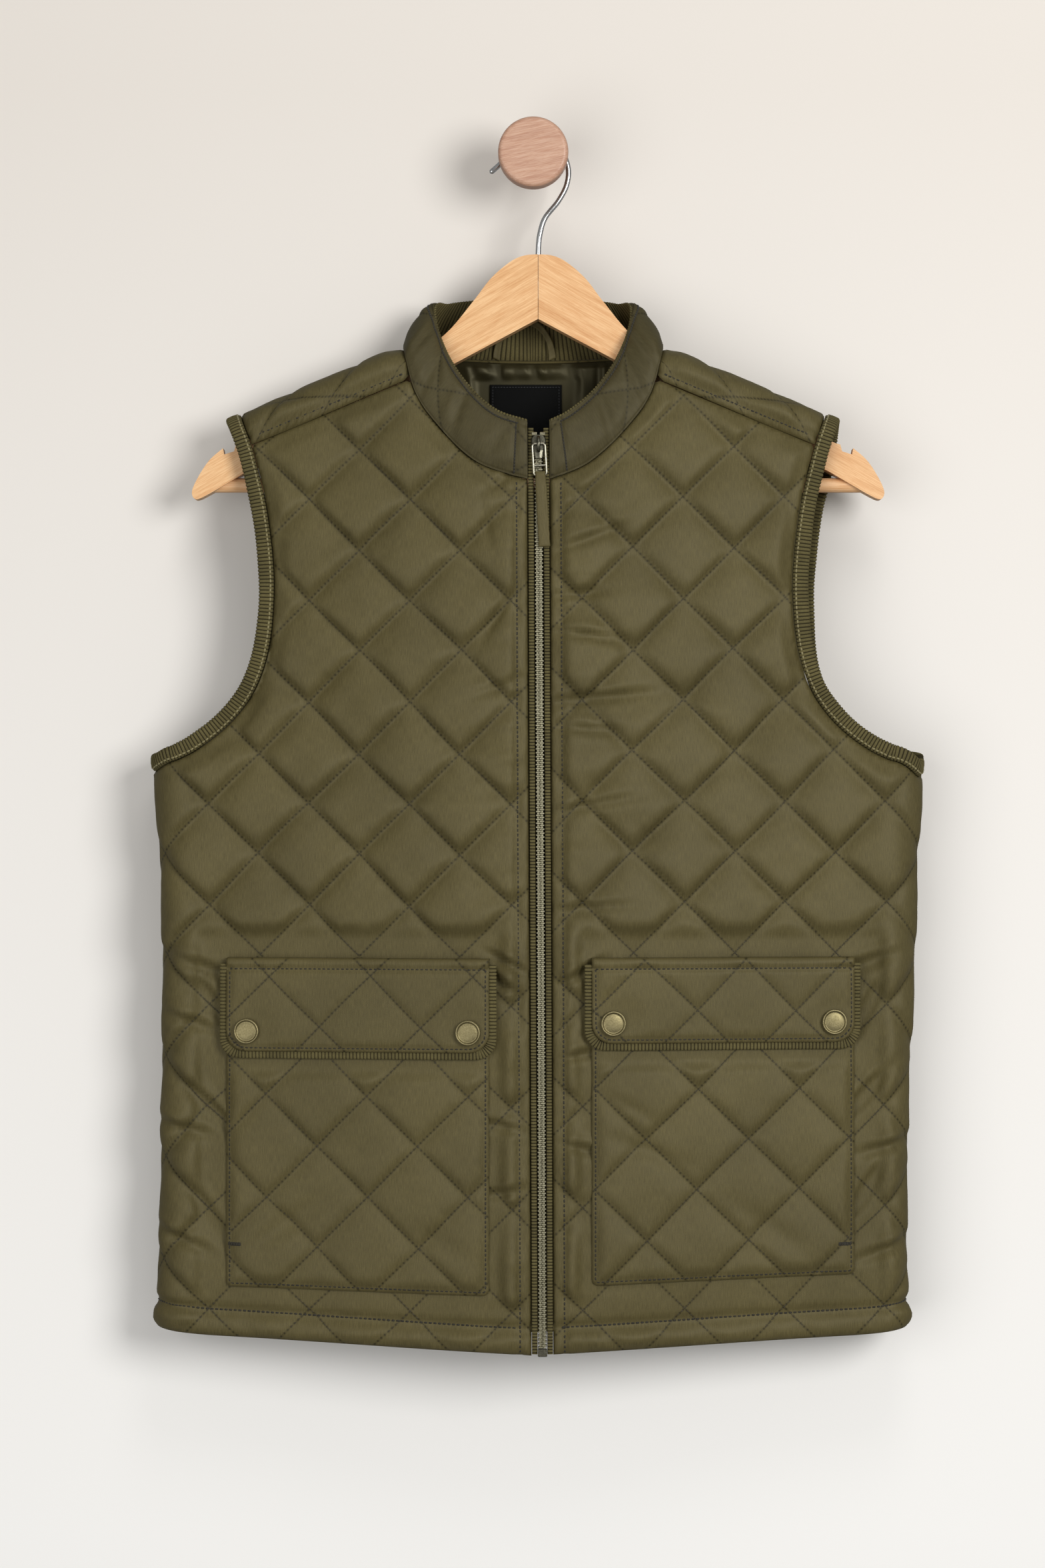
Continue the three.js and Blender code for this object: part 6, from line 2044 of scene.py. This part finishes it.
def add_loop():
    """A narrow strap sewn at both ends to the collar's inside."""
    middle, half = (LOOP["left"] + LOOP["right"]) / 2, (LOOP["right"] - LOOP["left"]) / 2
    y = back_surface(np.array(0.0), np.array(LOOP["foot_z"], float))[1]
    y += -WALL_BACK - LOOP["thick"] / 2 - SEAM_GAP
    angle = np.linspace(0, math.pi, 64)
    lift = np.sin(angle)
    x = middle - half * np.cos(angle)
    stations = np.stack([x, y + 0 * x, mix(LOOP["foot_z"], LOOP["top_z"], lift)], 1)
    outs = unit(np.stack([-np.cos(angle) * (1 - lift), 0 * x, 0.4 + lift], 1))
    ups = np.broadcast_to([0.0, 1, 0], outs.shape)
    wide, thick = LOOP["wide"] / 2, LOOP["thick"] / 2
    section = [(-wide, -0.3 * thick), (-wide + 0.3, -thick), (-wide + 1, -0.7 * thick),
               (wide - 1, -0.7 * thick), (wide - 0.3, -thick), (wide, -0.3 * thick),
               (wide, 0.6 * thick), (wide - 0.3, thick), (-wide + 0.3, thick), (-wide, 0.6 * thick)]
    points, faces = sweep(stations, outs, ups, section)
    run = np.stack([0 * angle, run_length(stations), 0 * angle], 1)
    flat = np.repeat(run, len(section), 0)
    obj = add_mesh("hanger_loop_strap", points, faces, PLAIN_SHELL, flat)
    return place_piece(obj, "hanger_loop")


# Hanger, hook and knob


def hanger_outline():
    """The right arm's outline, with a notch in its top between the straight part and the tip."""
    top = np.array(HANGER_TOP, float)
    smooth = spline(top[:9], np.linspace(0, 1, 90))
    start, end = top[9:11]

    def on_top(x):
        return mix(start[1], end[1], (x - start[0]) / (end[0] - start[0]))

    x0, x1, deep = NOTCH["x"], NOTCH["x"] + NOTCH["wide"], NOTCH["deep"]
    inner = x0 + NOTCH["lean"]
    notch = [(x0, on_top(x0)), (inner, on_top(inner) - deep),
             (x1 - NOTCH["lip"], on_top(x1) - deep), (x1 + NOTCH["lip"], on_top(x1))]
    tip = spline(np.vstack([[TIP_START], top[11:], HANGER_UNDER[:1]]), np.linspace(0, 1, 30))
    return np.vstack([smooth, [start], notch, tip, HANGER_UNDER[1:]])


def round_edges(obj, points):
    """Rounds the board's rims, and less so where the two arms meet."""
    bevel = obj.modifiers.new("rounded_edges", "BEVEL")
    bevel.width = HANGER["edge"] * MM
    bevel.segments = 4
    bevel.limit_method = "WEIGHT"
    weights = obj.data.attributes.new("bevel_weight_edge", "FLOAT", "EDGE")
    for k, edge in enumerate(obj.data.edges):
        p, q = (points[v] for v in edge.vertices)
        face_edge = abs(p[1] - q[1]) < 0.01
        mitre = abs(p[0] - HANGER["x"]) < 1 and abs(q[0] - HANGER["x"]) < 1
        weights.data[k].value = (0.25 if mitre else 1.0) if face_edge else 0.0


def add_hanger():
    right = hanger_outline()
    reach = HANGER["thick"] / 2
    for name, side in SIDES:
        outline = right * [side, 1]
        outline[:, 0] = np.where(np.abs(outline[:, 0]) < 0.01, side * MITRE_GAP / 2, outline[:, 0])
        x, z = outline[:, 0] + HANGER["x"], outline[:, 1]
        points, faces = lofted([np.stack([x, 0 * x + y, z], 1) for y in (MID_Y - reach, MID_Y + reach)])
        obj = add_mesh(f"hanger_arm_{name}_board", points, faces, ARM_WOOD[name], sharp=35)
        place_piece(obj, f"hanger_arm_{name}")
        round_edges(obj, points)
    radius, long = HANGER["bar_r"], 2 * HANGER["bar_half"]
    profile = [(0, 0), (radius - 0.6, 0), (radius, 0.6)]
    profile += [(radius, long - 0.6), (radius - 0.6, long), (0, long)]
    at = [HANGER["x"] - HANGER["bar_half"], MID_Y, HANGER["bar_z"]]
    bar = lathe(profile, 48, at, (1, 0, 0), "hanger_bar_rod", BAR_WOOD)
    place_piece(bar, "hanger_bar")


def centripetal(points, count):
    """Points along the curve that bends evenly through unevenly spaced points."""
    points = np.array(points, float)
    full = np.vstack([2 * points[0] - points[1], points, 2 * points[-1] - points[-2]])
    t = np.linspace(0, 1, 24, endpoint=False)[:, None]
    made = []
    for k in range(len(points) - 1):
        p0, p1, p2, p3 = full[k:k + 4]
        t01, t12, t23 = (np.linalg.norm(d) ** 0.5 for d in (p1 - p0, p2 - p1, p3 - p2))
        leave = ((p1 - p0) / t01 - (p2 - p0) / (t01 + t12) + (p2 - p1) / t12) * t12
        arrive = ((p2 - p1) / t12 - (p3 - p1) / (t12 + t23) + (p3 - p2) / t23) * t12
        made.append(hermite(p1, p2, leave, arrive, t))
    line = np.vstack(made + [points[-1:]])
    return even_points(line, run_length(line)[-1] / count)


def add_hook():
    line = centripetal([(x, MID_Y, z) for x, z in HOOK_PATH], 220)
    ahead = unit(np.gradient(line, axis=0))
    outs = np.stack([ahead[:, 2], 0 * ahead[:, 1], -ahead[:, 0]], 1)
    ups = np.broadcast_to([0.0, 1, 0], outs.shape)
    along = run_length(line)
    to_end = along[-1] - along
    radius = HOOK_WIRE * np.sqrt(np.clip(1 - (1 - np.clip(to_end / 1.7, 0, 1)) ** 2, 0.02, 1))
    section = circle(1, 20)[None] * radius[:, None, None]
    obj = add_mesh("hanger_hook_wire", *sweep(line, outs, ups, section), STEEL)
    place_piece(obj, "hanger_hook")


def add_knob():
    stem, long = KNOB["stem_r"], KNOB["stem_long"]
    disc, thick, edge = KNOB["disc_r"], KNOB["disc_thick"], KNOB["edge"]
    profile = [(0, 0), (stem, 0), (stem, long)]
    profile += arc_points(disc - edge, long + edge, edge, -90, 0, 8)
    profile += arc_points(disc - edge, long + thick - edge, edge, 0, 90, 12)
    profile += [(disc * 0.5, long + thick - 0.05), (0, long + thick)]
    obj = lathe(profile, 128, (0, 0, 0), (0, -1, 0), "wall_knob_turned", KNOB_WOOD, 50)
    place_piece(obj, "wall_knob")


# The flat cuts, and everything in its order


def flat_area(outline):
    x, z = np.asarray(outline, float).T
    return abs(np.sum(x * np.roll(z, -1) - z * np.roll(x, -1))) / 2


def declare(obj, outline, pieces):
    """Works out a sheet's flat size and area from its outline, in metres."""
    size = (outline.max(0) - outline.min(0)) * MM
    area = min(flat_area(outline) * MM**2, size[0] * size[1])
    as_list(pieces)


add_stage()
fronts = {name: add_front(name, side) for name, side in SIDES}
back, back_pieces = add_back()
bindings = {name: add_binding(name, side) for name, side in SIDES}
collar, (collar_stitches, collar_facing) = add_collar()
pockets, flaps, facings = {}, {}, {}
for name, side in SIDES:
    pockets[name] = add_pocket(name, side)
    flaps[name] = add_flap(name, side)
    facings[name] = add_flap_facing(name, side)
add_snaps()
tapes = {name: add_tape(name, side) for name, side in SIDES}
add_chain()
add_slider()
add_top_stops()
add_bottom_box()
add_pull()
lining = add_lining()
label, label_pieces = add_label()
strap = add_loop()
add_hanger()
add_hook()
add_knob()

for name, side in SIDES:
    front, sewn = fronts[name]
    trim = [*sewn, tapes[name], *bindings[name]]
    declare(front, front_outline(side), trim)
    for (obj, pieces), outline in (
        (pockets[name], pocket_outline(name, side)),
        (flaps[name], flap_outline(name, side)),
        ((facings[name], []), facing_outline(name, side)),
    ):
        declare(obj, outline, pieces)
declare(back, back_outline(), back_pieces)
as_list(label_pieces)
